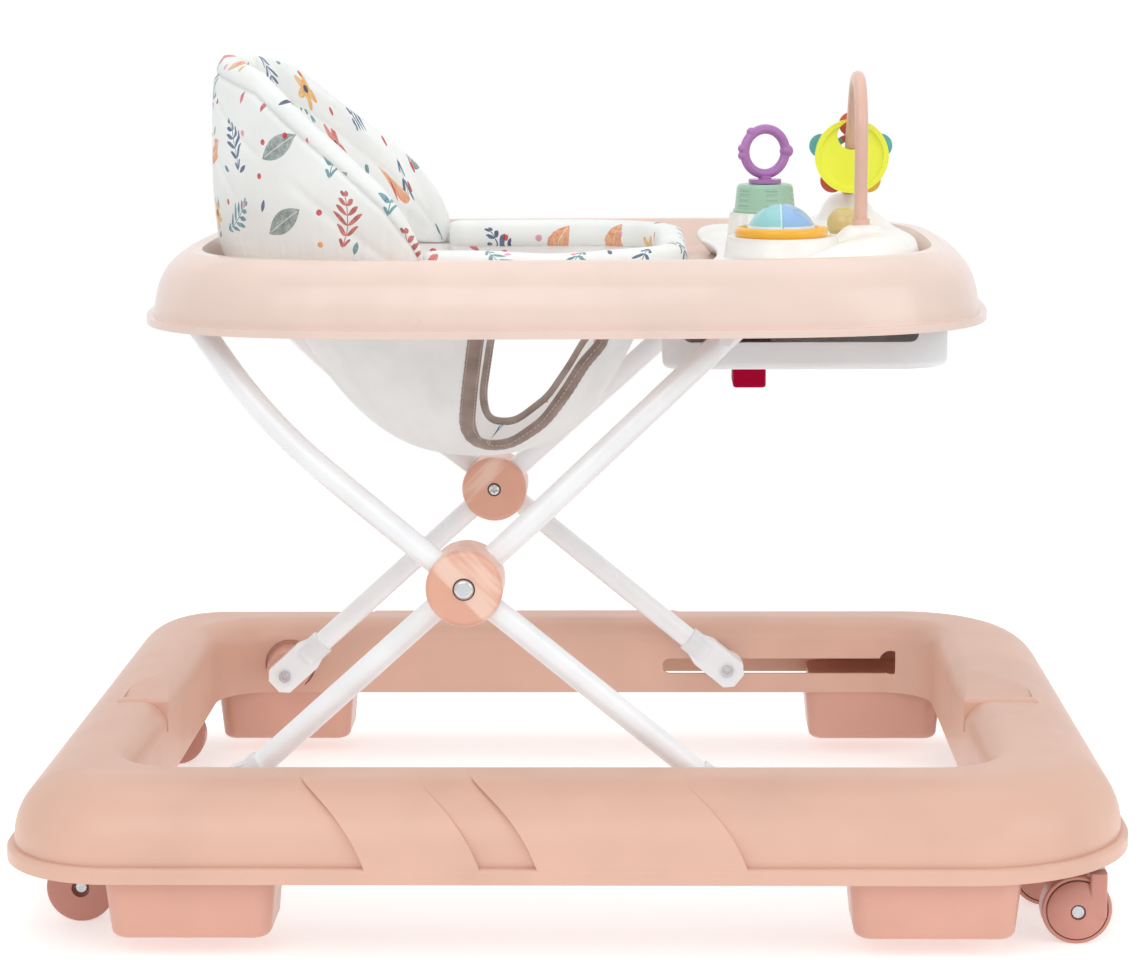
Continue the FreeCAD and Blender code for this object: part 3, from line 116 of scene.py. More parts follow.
class Finish:
    """A material, or the world, being wired up."""

    def __init__(self, name, owners=bpy.data.materials, output="Material"):
        self.owner = owners.new(name)
        self.owner.use_nodes = True
        self.tree = self.owner.node_tree
        self.tree.nodes.clear()
        self.output = self.tree.nodes.new("ShaderNodeOutput" + output)

    def node(self, kind, settings=None, values=None, out=0):
        """Adds a node: its settings first, then the value or link of each socket."""
        node = assign(self.tree.nodes.new("ShaderNode" + kind), **(settings or {}))
        for key, value in (values or {}).items():
            if isinstance(value, Wire):
                self.tree.links.new(value.socket, node.inputs[key])
            else:
                node.inputs[key].default_value = value
        return Wire(self, node.outputs[out])

    def place(self):
        """Object coordinates, which are the walker's own coordinates in metres."""
        return self.node("TexCoord", out="Object")

    def cloth_place(self):
        """Distance along the cloth in metres, from the piece's own UV map."""
        return self.node("UVMap", {"uv_map": "cloth"})

    def parts(self, vector):
        """The x, y and z of a vector."""
        outputs = self.node("SeparateXYZ", None, {0: vector}).socket.node.outputs
        return [Wire(self, socket) for socket in outputs]

    def vector(self, x, y, z=0.0):
        return self.node("CombineXYZ", None, {0: x, 1: y, 2: z})

    def vec(self, operation, first, second=(0.0, 0.0, 0.0)):
        return self.node("VectorMath", {"operation": operation}, {0: first, 1: second})

    def noise(self, vector, scale, detail=2.0, roughness=0.5):
        values = {"Vector": vector, "Scale": scale, "Detail": detail, "Roughness": roughness}
        return self.node("TexNoise", None, values)

    def mix(self, factor, first, second):
        values = {0: factor, 6: first, 7: second}
        return self.node("Mix", {"data_type": "RGBA"}, values, out=2)

    def tints(self, factor, first, second):
        """Mix of two colours given as screen values."""
        return self.mix(factor, tone(*first), tone(*second))

    def bump(self, height, depth):
        return self.node("Bump", None, {"Height": height, "Distance": depth, "Strength": 1.0})

    def surface(self, base, roughness, **values):
        """Principled surface; further sockets are given with underscores for spaces."""
        named = {key.replace("_", " "): value for key, value in values.items()}
        named.update({"Base Color": base, "Roughness": roughness})
        return self.joined(self.node("BsdfPrincipled", None, named))

    def joined(self, shader):
        """Joins the shader to the output."""
        self.tree.links.new(shader.socket, self.output.inputs[0])
        return self.owner


def tone(*screen):
    """Linear colour from the usual 0 to 255 screen values of red, green and blue."""
    values = [value / 255.0 for value in screen]
    return (*(v / 12.92 if v <= 0.04045 else ((v + 0.055) / 1.055) ** 2.4 for v in values), 1.0)


# ---- finishes ----
CLOUD_SHADE = 0.93
GRAIN_DEPTH = 0.00004


def moulded(name, colour, roughness, coat=0.0, **more):
    """Moulded plastic: faint clouds in the colour, a fine grain, handling marks in the gloss."""
    f = Finish(name)
    where = f.place()
    clouds = f.noise(where, 14.0, 3.0)
    deep = tuple(c * CLOUD_SHADE for c in colour[:3]) + (1.0,)
    base = f.mix(clouds.soft(0.35, 0.75), colour, deep)
    specks = f.noise(where, 1400.0)
    worn = f.noise(where, 45.0, 4.0)
    return f.surface(
        base, worn * 0.12 + (roughness - 0.06), Coat_Weight=coat,
        Coat_Roughness=0.12, Normal=f.bump(specks, GRAIN_DEPTH), **more)


def highlight_streaked(name):
    """Disc plastic under a clear gloss, with slanting paler streaks of painted highlight that also
    make it a little rougher and
    lift it slightly: they fall to the front on the walker's right side and rise on its left."""
    f = Finish(name)
    where = f.place()
    x, y, z = f.parts(where)
    lean = (y < 0.0) * (2 * SLANT) - SLANT
    across = x * SLANT + z * lean
    along = x * SLANT - z * lean
    stretched = f.vector(across * 60.0, along * 7.0, y * 9.0)
    highlight_streak = f.noise(stretched, 1.0, 3.0, 0.55).soft(0.48, 0.62)
    base = f.tints(f.noise(where, 30.0), (230, 174, 150), (222, 164, 140))
    # Painted highlight: the slanting streaks lighten the plastic's colour.
    base = f.mix(highlight_streak * 0.6, base, tone(250, 222, 206))
    return f.surface(
        base, highlight_streak * 0.08 + 0.34, Coat_Weight=0.3, Coat_Roughness=0.12,
        Normal=f.bump(highlight_streak, 0.00005))


def dome_sectors():
    """Spinner dome in quarters of two blues, with a thin strip of painted highlight beside the
    groove across it and a thin pale band round its rim.
    """
    f = Finish("dome plastic")
    where = f.place()
    x, y, _ = f.parts(where)
    dx = x - DOME_AT[0]
    dy = y - DOME_AT[1]
    same = (dx > 0.0) * (dy > 0.0) + (dx < 0.0) * (dy < 0.0)
    cloudy = f.noise(where, 90.0)
    teal = f.tints(cloudy, (150, 212, 214), (138, 202, 208))
    blue = f.tints(cloudy, (150, 190, 232), (138, 180, 224))
    base = f.mix(same, blue, teal)
    # Painted highlight: a thin pale strip on one side of the groove that runs across the dome; the
    # edge mask also holds the pale band round the rim.
    line = (dx > -0.0012) * (dx < -0.0004)
    edge = line.either((dx * dx + dy * dy).sqrt() > 0.0222)
    base = f.mix(edge * 0.75, base, tone(236, 246, 248))
    return f.surface(base, cloudy * 0.1 + 0.22, Coat_Weight=0.5, Coat_Roughness=0.06)


def petal_colours():
    """Rattle petals: one colour to each, by the angle round the bar."""
    f = Finish("petal plastic")
    where = f.place()
    x, _, z = f.parts(where)
    angle = (z - PETALS_AT[2]).turn(x - PETALS_AT[0])
    base = tone(96, 186, 196)
    for low, high, colour in (
            (54, 90, tone(120, 176, 224)), (90, 126, tone(214, 96, 72)),
            (-162, -90, tone(212, 84, 66)), (-90, -18, tone(244, 196, 60))):
        base = f.mix((angle > low * DEGREE) * (angle < high * DEGREE), base, colour)
    cloudy = f.noise(where, 60.0)
    return f.surface(base, cloudy * 0.1 + 0.26, Coat_Weight=0.3)


def painted_recess_shade():
    """Painted shade: a dark colour for the shaded gap round a screw."""
    f = Finish("painted recess shade")
    cloudy = f.noise(f.place(), 300.0)
    base = f.tints(cloudy, (92, 74, 68), (70, 58, 54))
    return f.surface(base, cloudy * 0.2 + 0.6)


def coated_tube():
    """White powder coat on steel tube, with its faint orange-peel skin."""
    f = Finish("white powder coat")
    where = f.place()
    peel = f.noise(where, 420.0, 3.0)
    dull = f.noise(where, 30.0, 3.0)
    base = f.tints(dull.soft(0.3, 0.8), (246, 248, 250), (238, 240, 242))
    return f.surface(
        base, dull * 0.1 + 0.24, Coat_Weight=0.35, Coat_Roughness=0.08,
        Normal=f.bump(peel, 0.00006))


def bright_steel():
    """Brushed steel with a few duller stains."""
    f = Finish("bright steel")
    where = f.place()
    fine = f.noise(f.vec("MULTIPLY", where, (900.0, 120.0, 900.0)), 1.0, 3.0)
    base = f.tints(f.noise(where, 260.0), (215, 215, 218), (170, 171, 176))
    return f.surface(base, fine * 0.2 + 0.18, Metallic=1.0, Normal=f.bump(fine, 0.00003))


THREAD = 0.0007
WEAVE_DEPTH = 0.00006


def weave(f, where):
    """Plain weave: over and under bumps of two crossing sets of threads, and fuzz."""
    x, y, _ = f.parts(where)
    step = math.pi / THREAD
    over = (x * step).sin() * (y * step).sin()
    return f.bump(over * 0.5 + f.noise(where, 2600.0), WEAVE_DEPTH)


def white_lining():
    """Plain white cover cloth on the outside of the sling."""
    f = Finish("white cover cloth")
    where = f.cloth_place()
    cloudy = f.noise(where, 22.0, 3.0)
    base = f.tints(cloudy.soft(0.3, 0.8), (246, 251, 251), (235, 240, 241))
    return f.surface(base, cloudy * 0.1 + 0.66, Normal=weave(f, where), Sheen_Weight=0.15)


TWILL = 0.0009
STITCH_PITCH = 0.0034
STITCH_LINE = 0.0042  # from the tape's middle


def tape_cloth():
    """Grey-brown twill tape with a line of stitches near each edge."""
    f = Finish("binding tape")
    where = f.cloth_place()
    along, across, _ = f.parts(where)
    twill = ((along + across) * (math.pi / TWILL)).sin()
    cloudy = f.noise(where, 60.0, 3.0)
    base = f.tints(cloudy.soft(0.25, 0.75), (170, 153, 143), (138, 121, 112))
    base = f.mix((twill > 0.2) * 0.25, base, tone(104, 92, 90))
    stitch = ((along % STITCH_PITCH) < 0.0023) * (abs(abs(across) - STITCH_LINE) < 0.00030)
    base = f.mix(stitch * 0.8, base, tone(196, 184, 178))
    return f.surface(
        base, cloudy * 0.1 + 0.74, Sheen_Weight=0.2,
        Normal=f.bump(twill * 0.5 + stitch * 1.5, 0.00012))


class Motifs:
    """Small painted motifs scattered over a cloth, one to a cell of a jittered grid."""

    def __init__(self, f, where, cell, seed):
        self.f = f
        shifted = f.vec("ADD", where, (seed * 0.0173, seed * 0.0291, 0.0))
        scaled = f.node("VectorMath", {"operation": "SCALE"}, {0: shifted, "Scale": 1.0 / cell})
        index = f.vec("FLOOR", scaled)

        def drawn(offset):
            """Three values from 0 to 1, the same all over a cell."""
            place = f.vec("ADD", index, offset)
            noise = f.node("TexWhiteNoise", {"noise_dimensions": "3D"}, {0: place}, out=1)
            return f.parts(noise)

        self.kind, _, _ = drawn((0.37 * seed, 0.11, 0.5))
        shift_x, shift_y, twist = drawn((0.13, 0.57 * seed, 1.5))
        x, y, _ = f.parts(f.vec("FRACTION", scaled))
        wander = 0.26
        x = (x - 0.5 - (shift_x - 0.5) * wander) * cell
        y = (y - 0.5 - (shift_y - 0.5) * wander) * cell
        lean = (twist - 0.5) * 2.4
        c, s = lean.cos(), lean.sin()
        self.x = x * c + y * s
        self.y = y * c - x * s
        self.far = (self.x * self.x + self.y * self.y).sqrt()

    def chosen(self, low, high):
        """Mask of the cells whose draw lies between the limits."""
        return (self.kind > low) * (self.kind < high)

    def leaf(self, length, width):
        """Almond: half width falls with the square of the distance from the middle."""
        t = self.y / length
        edge = (1.0 - t * t) * width
        blade = abs(self.x) < edge
        vein = (abs(self.x) < 0.00028) * (abs(self.y) < length * 0.86)
        return blade, vein

    def spray(self, length, pitch, reach, width):
        """Curved stem with a pair of slanting leaflets at each step along it."""
        x = self.x - self.y * self.y * 9.0
        stem = (abs(x) < 0.00032) * (abs(self.y) < length)
        rise = abs(x) * 0.9
        y = (self.y - rise) % pitch - pitch * 0.5
        taper = 1.0 - abs(self.y - rise * 0.5) / (length * 1.25)
        out = abs(x) / (taper * reach)
        leaflet = (abs(y) < (out * (1.0 - out)) * (width * 4.0)) * (out < 1.0)
        return stem, leaflet * (abs(self.y - rise) < length)

    def flower(self, radius, lobes, depth):
        """Rosette: the edge swings in and out with the angle."""
        angle = self.y.turn(self.x)
        edge = (angle * lobes).cos() * depth + (radius - depth)
        return self.far < edge, angle


LARGE_CELL = 0.046
SMALL_CELL = 0.0235
VEIN = (250, 240, 230)
EYE = (60, 70, 100)


def printed(f, where, ground):
    """A scattered print of sprays, leaves, rosettes and berries in watercolour tones."""
    wash = f.noise(where, 190.0, 4.0, 0.6).soft(0.32, 0.7)
    dots = f.node("TexVoronoi", {"feature": "F1"}, {"Vector": where, "Scale": 620.0})
    base = ground

    def paint(base, mask, light, deep, strength=0.92):
        return f.mix(mask * strength, base, f.tints(wash, light, deep))

    large = Motifs(f, where, LARGE_CELL, 1.0)
    for low, high, light, deep in (
            (0.0, 0.2, (74, 116, 152), (38, 62, 104)),
            (0.2, 0.38, (214, 118, 108), (170, 66, 70)),
            (0.38, 0.5, (120, 172, 180), (62, 122, 138))):
        stem, leaflet = large.spray(0.0185, 0.0066, 0.0104, 0.0021)
        base = paint(base, large.chosen(low, high) * stem.either(leaflet), light, deep)
    blade, vein = large.leaf(0.0165, 0.0072)
    for low, high, light, deep in (
            (0.5, 0.6, (243, 190, 140), (226, 140, 104)),
            (0.6, 0.7, (176, 190, 186), (120, 134, 134))):
        mask = large.chosen(low, high)
        base = paint(base, mask * blade, light, deep)
        base = paint(base, mask * blade * (dots < 0.36), deep, deep, 0.55)
        base = paint(base, mask * vein, VEIN, VEIN, 0.8)
    petals, angle = large.flower(0.0118, 5.0, 0.0030)
    lines = ((angle * 15.0).sin() > 0.72) * (large.far > 0.0032)
    for low, high, light, deep in (
            (0.7, 0.82, (240, 160, 150), (206, 96, 92)),
            (0.82, 0.92, (246, 206, 140), (232, 164, 84))):
        mask = large.chosen(low, high)
        base = paint(base, mask * petals, light, deep)
        base = paint(base, mask * petals * lines, deep, deep, 0.6)
        base = paint(base, mask * (large.far < 0.0026), EYE, EYE)
    small = Motifs(f, where, SMALL_CELL, 2.0)
    berry = small.far < 0.0020
    blade, _ = small.leaf(0.0045, 0.0017)
    for shape, low, high, light, deep in (
            (berry, 0.0, 0.16, (222, 70, 70), (190, 34, 44)),
            (berry, 0.16, 0.24, (240, 176, 196), (226, 140, 170)),
            (berry, 0.24, 0.3, (246, 190, 120), (230, 150, 80)),
            (blade, 0.3, 0.38, (90, 96, 130), (56, 60, 92)),
            (blade, 0.38, 0.46, (226, 120, 130), (190, 70, 90)),
            (blade, 0.46, 0.52, (120, 166, 172), (70, 120, 130))):
        base = paint(base, small.chosen(low, high) * shape, light, deep)
    return base


SEAM_DROP = 0.0125  # of the outer seam below the crest
SEAM_WIDTH = 0.0022
INNER_SEAM = 0.030  # of the inner seam below the crest


def print_cloth(name, light, dark, seamed=False):
    """Printed cotton. Where it is seamed, the print is cut at the seam under the crest and at the
    crest's inner edge, and the seam itself is in shade."""
    f = Finish(name)
    where = f.cloth_place()
    cloudy = f.noise(where, 16.0)
    ground = f.mix(cloudy.soft(0.3, 0.8), light, dark)
    if seamed:
        drop, _, _ = f.parts(f.node("UVMap", {"uv_map": "seam"}))
        roll = drop < SEAM_DROP
        inner = drop < -INNER_SEAM
        x, y, _ = f.parts(where)
        base = printed(f, f.vector(x + roll * 0.037 + inner * 0.061, y + roll * 0.024), ground)
        line = 1.0 - (abs(drop - SEAM_DROP) / SEAM_WIDTH).soft(0.0, 1.0)
        base = f.mix(line * 0.22, base, tone(150, 142, 140))
    else:
        base = printed(f, where, ground)
    return f.surface(base, cloudy * 0.1 + 0.68, Normal=weave(f, where), Sheen_Weight=0.12)


# ---- mesh helpers ----
def mesh_piece(name, points, faces, material):
    """A new object at the origin with the given points, faces and material."""
    mesh = bpy.data.meshes.new(name)
    mesh.from_pydata(points.reshape(-1, 3), [], faces)
    mesh.validate()
    mesh.shade_smooth()
    piece = bpy.data.objects.new(name, mesh)
    bpy.context.collection.objects.link(piece)
    mesh.materials.append(material)
    mesh.update()
    return piece


def grid_faces(rows, columns, wrap_rows=False, wrap_columns=False):
    """Quads of a grid of rows by columns points, closed round either way when asked."""
    r = np.arange(rows if wrap_rows else rows - 1)
    c = np.arange(columns if wrap_columns else columns - 1)
    i, j = np.meshgrid(r, c, indexing="ij")
    i2, j2 = (i + 1) % rows, (j + 1) % columns
    corners = [i * columns + j, i * columns + j2, i2 * columns + j2, i2 * columns + j]
    return stacked(*corners).reshape(-1, 4)


def surface_piece(name, points, material, ring=False):
    """A tube from a grid of points whose rows are loops: closed round to a ring, or with both its
    ends capped."""
    rows, columns = points.shape[:2]
    faces = grid_faces(rows, columns, ring, True).tolist()
    if not ring:
        end = rows * columns
        faces += [list(range(columns))[::-1], list(range(end - columns, end))]
    piece = mesh_piece(name, points, faces, material)
    outward(piece)
    return piece


def outward(piece):
    """Merges doubles and turns every face outwards."""
    work = bmesh.new()
    work.from_mesh(piece.data)
    bmesh.ops.remove_doubles(work, verts=work.verts, dist=1e-6)
    bmesh.ops.recalc_face_normals(work, faces=work.faces)
    work.to_mesh(piece.data)
    work.free()
    piece.data.update()


def points_of(piece):
    flat = np.empty(len(piece.data.vertices) * 3)
    piece.data.vertices.foreach_get("co", flat)
    return flat.reshape(-1, 3)


def set_points(piece, points):
    piece.data.vertices.foreach_set("co", points.astype(np.float32).ravel())
    piece.data.update()


def lay_cloth_map(piece, along, across, name="cloth"):
    """Stores the distance along and across the cloth, per vertex, as a UV map for the print."""
    corner = np.empty(len(piece.data.loops), dtype=np.int32)
    piece.data.loops.foreach_get("vertex_index", corner)
    layer = piece.data.uv_layers.get(name) or piece.data.uv_layers.new(name=name)
    place = stacked(along[corner], across[corner])
    layer.data.foreach_set("uv", place.astype(np.float32).ravel())


def apply_modifiers(piece):
    """Puts the evaluated mesh in place of the piece's own."""
    graph = bpy.context.evaluated_depsgraph_get()
    mesh = bpy.data.meshes.new_from_object(piece.evaluated_get(graph))
    old = piece.data
    piece.modifiers.clear()
    piece.data = mesh
    bpy.data.meshes.remove(old)
    mesh.name = piece.name


def modifier(piece, kind, **settings):
    return assign(piece.modifiers.new(kind.lower(), kind), **settings)


PRESSURE = 4.0
PUFF = 0.0035
FRAMES = 20


def inflate(piece, voxel):
    """Remeshes the pad, lets Cloth blow it up, keeps each point within PUFF of its start, then
    subdivides."""
    modifier(piece, "REMESH", mode="VOXEL", voxel_size=voxel, use_smooth_shade=True)
    apply_modifiers(piece)
    start = points_of(piece)
    cloth = modifier(piece, "CLOTH")
    assign(cloth.settings, use_pressure=True, uniform_pressure_force=PRESSURE, quality=6,
           tension_stiffness=18.0, compression_stiffness=18.0, bending_stiffness=2.0)
    cloth.settings.effector_weights.gravity = 0.0
    cloth.collision_settings.use_self_collision = False
    assign(cloth.point_cache, frame_start=1, frame_end=FRAMES)
    for number in range(1, FRAMES + 1):
        bpy.context.scene.frame_set(number)
    apply_modifiers(piece)
    bpy.context.scene.frame_set(1)
    moved = points_of(piece) - start
    far = np.linalg.norm(moved, axis=1, keepdims=True)
    moved *= np.minimum(1.0, PUFF / np.maximum(far, 1e-9))
    set_points(piece, start + moved)
    modifier(piece, "SUBSURF", levels=1, render_levels=1)
    apply_modifiers(piece)
    piece.data.shade_smooth()


def rounded(values, power):
    """Sine or cosine values pushed towards a rounded square."""
    return np.sign(values) * np.abs(values) ** (2.0 / power)


def circle(count, axis):
    """Angles once round, along the rows (axis 0) or the columns (axis 1) of a grid."""
    return np.expand_dims(np.linspace(0, TAU, count, endpoint=False), 1 - axis)


# ---- seat ----
SEAT_X = -0.097
DECK = 0.413
LOWEST = DECK + 0.0005  # of the pads
BACK_ARC = 0.143
WALL_ARC = 0.145  # radius by which the cloth is measured round the back
CREST_X = np.array([-0.262, -0.236, -0.204, -0.176, -0.146, -0.119, -0.103, -0.090])
CREST_H = np.array([0.140, 0.148, 0.136, 0.113, 0.088, 0.062, 0.039, 0.010])
WALL_H = np.array([0.0, 0.022, 0.054, 0.092, 0.132, 0.152])
WALL_MID = np.array([0.1405, 0.1425, 0.1445, 0.1440, 0.1425, 0.1385])
WALL_HALF = np.array([0.0090, 0.0105, 0.0108, 0.0108, 0.0104, 0.0098])
# Slanting pulls: along and up at the start, along and up at the end, width, depth.
PULLS = (
    (-0.045, 0.118, -0.105, 0.086, 0.0030, 0.0014), (-0.020, 0.098, -0.075, 0.060, 0.0035, 0.0011),
    (-0.150, 0.060, -0.205, 0.018, 0.0035, 0.0011), (0.050, 0.112, 0.112, 0.078, 0.0030, 0.0013),
    (0.010, 0.070, 0.070, 0.030, 0.0040, 0.0010), (0.140, 0.064, 0.200, 0.022, 0.0035, 0.0012))


def crest(angle):
    """Height of the back above the deck at an angle round the seat, 0 at the rear."""
    return np.interp(SEAT_X - BACK_ARC * np.cos(angle), CREST_X, CREST_H)


def seat_back_form():
    """Upright wall bent round half a circle. Its section is a rounded oblong: the height is half
    the crest height times one plus the squared-off sine, and the radius is the wall's middle radius
    plus its half thickness times the squared-off cosine. The half thickness falls to nothing at
    both wing ends."""
    angle = np.radians(np.linspace(-91.5, 91.5, 181))[:, None]
    v = circle(96, 1)
    height = 0.5 * crest(angle) * (1 + rounded(np.sin(v), 5.0))
    into_end = ((np.abs(angle) - math.radians(84)) / math.radians(7.6)).clip(0)
    close = np.sqrt(np.clip(1 - into_end ** 2, 0.02, 1))
    half = np.interp(height, WALL_H, WALL_HALF) * close - 0.0022
    radius = np.interp(height, WALL_H, WALL_MID) + half * rounded(np.cos(v), 2.8)
    x, y = SEAT_X - radius * np.cos(angle), radius * np.sin(angle)
    return stacked(x, y, DECK + 0.003 + height)


def seat_polar(p):
    """Angle round the seat, height over the deck, whether the point is on the inner face, and the
    crest's height there."""
    angle = np.arctan2(p[:, 1], SEAT_X - p[:, 0])
    radius = np.hypot(p[:, 0] - SEAT_X, p[:, 1])
    height = p[:, 2] - DECK
    inside = radius < np.interp(height, WALL_H, WALL_MID)
    return angle, height, inside, crest(np.clip(angle, -1.57, 1.57))


def wall_map(piece):
    """Cloth map of the seat back: arc length round the seat, and height up the outside and on down
    the inside. The seam map holds the distance below the crest, less than nothing inside."""
    angle, height, inside, top = seat_polar(points_of(piece))
    lay_cloth_map(piece, angle * WALL_ARC, np.where(inside, 2 * top - height, height))
    lay_cloth_map(piece, np.where(inside, height - top, top - height), angle * WALL_ARC, "seam")


def press_seams(piece):
    """Draws the cloth in at the seams under the crest, along the slanting pulls, and in fine
    upright gathers near the bottom. Each dent is a depth times a bell curve of the distance from
    its line."""
    p = points_of(piece)
    angle, height, inside, top = seat_polar(p)
    drop = top - height
    dent = 0.0019 * np.exp(-((drop - SEAM_DROP) / SEAM_WIDTH) ** 2) * ~inside
    dent += 0.0012 * np.exp(-((drop - INNER_SEAM) / 0.0030) ** 2) * inside
    along = angle * WALL_ARC
    for a0, h0, a1, h1, width, depth in PULLS:
        run = np.array([a1 - a0, h1 - h0])
        long = np.hypot(*run)
        run = run / long
        t = (along - a0) * run[0] + (height - h0) * run[1]
        off = (height - h0) * run[0] - (along - a0) * run[1]
        ends = np.exp(-(np.maximum(np.abs(t - long / 2) - long / 2, 0) / 0.012) ** 2)
        dent += depth * ends * np.exp(-(off / width) ** 2)
    gather = np.sin(along * 900) * np.sin(along * 211 + 1.0)
    dent += 0.0005 * gather * np.exp(-((height - 0.012) / 0.022) ** 2)
    push = np.where(inside, dent, -dent)
    p[:, 0] -= push * np.cos(angle)
    p[:, 1] += push * np.sin(angle)
    p[:, 2] = np.maximum(p[:, 2], LOWEST)
    set_points(piece, p)


def seat_back(cloth):
    piece = surface_piece("seat_back_cushion", seat_back_form(), cloth)
    inflate(piece, voxel=0.0036)
    press_seams(piece)
    wall_map(piece)
    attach(piece, "tray")
    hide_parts("seat_back_pad")


RIM_SIDE = 0.1365
RIM_FRONT = 0.0685
RIM_CORNER = 0.068


def rim_path(count):
    """Centre line of the front roll by length along it: straight side, quarter circle, straight
    front, quarter circle, straight side. Each point is RIM_CORNER out from the corners' centres."""
    corner_x, corner_y = RIM_FRONT - RIM_CORNER, RIM_SIDE - RIM_CORNER
    side, front, quarter = corner_x - SEAT_X, 2 * corner_y, 0.5 * math.pi * RIM_CORNER
    knots = np.cumsum([0, side, quarter, front, quarter, side])
    s = np.linspace(0, knots[-1], count)
    heading = np.interp(s, knots, np.radians([0, 0, 90, 90, 180, 180]))
    x = np.interp(s, knots, [SEAT_X, corner_x, corner_x, corner_x, corner_x, SEAT_X])
    y = np.interp(s, knots, [-corner_y, -corner_y, -corner_y, corner_y, corner_y, corner_y])
    return s, x + RIM_CORNER * np.sin(heading), y - RIM_CORNER * np.cos(heading), heading


def rim_form():
    """Low roll: a rounded oblong section carried along the rim path, with its ends drawn in and a
    shallow dip in its near side."""
    s, x, y, heading = rim_path(220)
    v = circle(56, 1)
    into_end = (1 - np.minimum(s, s[-1] - s) / 0.012).clip(0)
    ends = np.sqrt(np.clip(1 - into_end ** 2, 0.05, 1))[:, None]
    out = 0.0102 * ends * rounded(np.cos(v), 2.6)
    dip = 0.0026 * np.exp(-((s - 0.085) / 0.030) ** 2)[:, None]
    half = 0.0103 - 0.5 * dip
    up = half * rounded(np.sin(v), 2.6) + half + 0.0014
    x = x[:, None] + out * np.sin(heading)[:, None]
    y = y[:, None] - out * np.cos(heading)[:, None]
    return stacked(x, y, DECK + up)


def seat_rim(cloth):
    piece = surface_piece("seat_rim_cushion", rim_form(), cloth)
    inflate(piece, voxel=0.004)
    p = points_of(piece)
    p[:, 2] = np.maximum(p[:, 2], LOWEST)
    set_points(piece, p)
    s, x, y, heading = rim_path(400)
    near = np.argmin((p[:, 0, None] - x[None]) ** 2 + (p[:, 1, None] - y[None]) ** 2, axis=1)
    turn = heading[near]
    out = (p[:, 0] - x[near]) * np.sin(turn) - (p[:, 1] - y[near]) * np.cos(turn)
    lay_cloth_map(piece, s[near] + 0.322, 0.02 + out + np.sign(out) * (DECK + 0.02 - p[:, 2]))
    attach(piece, "tray")
    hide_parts("seat_rim_pad")


SLING_LOW = 0.280
SLING_TOP = DECK - 0.0008
SLING_X = -0.0774  # middle of the bowl at its top
PAD_LINE = 0.1400
OPENING = 0.1452
OPENING_CORNER = 0.0692


def oval(depth, inset):
    """Half length, half width and middle of the bowl's oval at a depth from 0 at the bottom to 1:
    the halves go by a power of the depth, and the middle moves back as the bowl rises."""
    return 0.1386 * depth ** 0.37 - inset, 0.131 * depth ** 0.36 - inset, -0.0684 - 0.009 * depth


def bowl(angle, depth, inset):
    """Points of the bowl at an angle and a depth."""
    a, b, centre = oval(depth, inset)
    z = SLING_LOW + inset + depth * (SLING_TOP - SLING_LOW - inset)
    return stacked(centre + a * np.cos(angle), b * np.sin(angle), z)


def arc(x, y, radius, start, end, count):
    """Points of an arc from one angle in degrees to another."""
    turn = np.radians(np.linspace(start, end, count))
    return stacked(x + radius * np.cos(turn), y + radius * np.sin(turn))


def reach_of(line, angle):
    """Distance from the sling's middle to a closed line of points, in the given direction."""
    around = np.arctan2(line[:, 1], line[:, 0] - SLING_X)
    reach = np.hypot(line[:, 0] - SLING_X, line[:, 1])
    order = np.argsort(around)
    return np.interp(angle, around[order], reach[order], period=TAU)


def pad_reach(angle):
    """Distance from the sling's middle to a line just under the pads' inner edges: half a circle
    behind, and the front roll's path drawn in by 4.5 mm."""
    _, x, y, heading = rim_path(240)
    front = stacked(x - 0.0045 * np.sin(heading), y + 0.0045 * np.cos(heading))
    return reach_of(np.concatenate([arc(SEAT_X, 0, PAD_LINE, 90, 270, 91), front]), angle)


def opening_reach(angle):
    """Distance from the sling's middle to a line 0.8 mm inside the tray's opening: half a circle
    behind, straight sides, round front corners and a straight front."""
    corner = (-0.008, 0.076)
    side = stacked(np.linspace(corner[0], SEAT_X, 40), np.full(40, OPENING))
    front = stacked(np.full(40, corner[0] + OPENING_CORNER), np.linspace(0, corner[1], 40))
    half = np.concatenate([front, arc(*corner, OPENING_CORNER, 0, 90, 31), side])
    return reach_of(
        np.concatenate([arc(SEAT_X, 0, OPENING, 90, 270, 91), half, half * (1, -1)]), angle)


def flared(points, angle, depth, top, line):
    """Opens the bowl's upper part out to a line: from three quarters of the depth upwards each
    point moves towards the line by a power of the rest, and the last stretch rises to the given
    top. Fine gathers run round the front."""
    t = np.clip((depth - 0.75) / 0.25, 0, 1)
    x, y = points[..., 0] - SLING_X, points[..., 1]
    far = np.hypot(x, y)
    grown = far + (np.maximum(line(np.arctan2(y, x)), far) - far) * t ** 2.2
    grown += 0.0006 * np.sin(angle * 96) * t * (1 - t) * 4 * (np.cos(angle) > 0.2)
    z = points[..., 2] + (top - SLING_TOP) * t ** 3
    return stacked(SLING_X + x * grown / far, y * grown / far, z)


HOLE = np.array([
    [-57, 99], [-63, 60], [-67, 30], [-63, 18.4], [-46, 18.4], [-24, 34], [-9, 55], [3, 75],
    [18, 91], [10, 103], [-20, 107], [-45, 106]]) * MM
TAPE_HALF = 0.0056
TAPE_INSET = 0.0008
LINING_INSET = 0.004


def smooth_loop(knots, count):
    """Closed curve through the knots by Fourier series, so that it is smooth everywhere."""
    closed = np.vstack([knots, knots[:1]])
    length = np.concatenate([[0], np.cumsum(np.hypot(*np.diff(closed, axis=0).T))])
    t = np.linspace(0, length[-1], count * 4, endpoint=False)
    raw = np.interp(t, length, closed[:, 0]) + 1j * np.interp(t, length, closed[:, 1])
    kernel = np.exp(-0.5 * (np.fft.fftfreq(len(raw), 1.0 / len(raw)) / 9.0) ** 2)
    return np.fft.ifft(np.fft.fft(raw) * kernel)[::4]


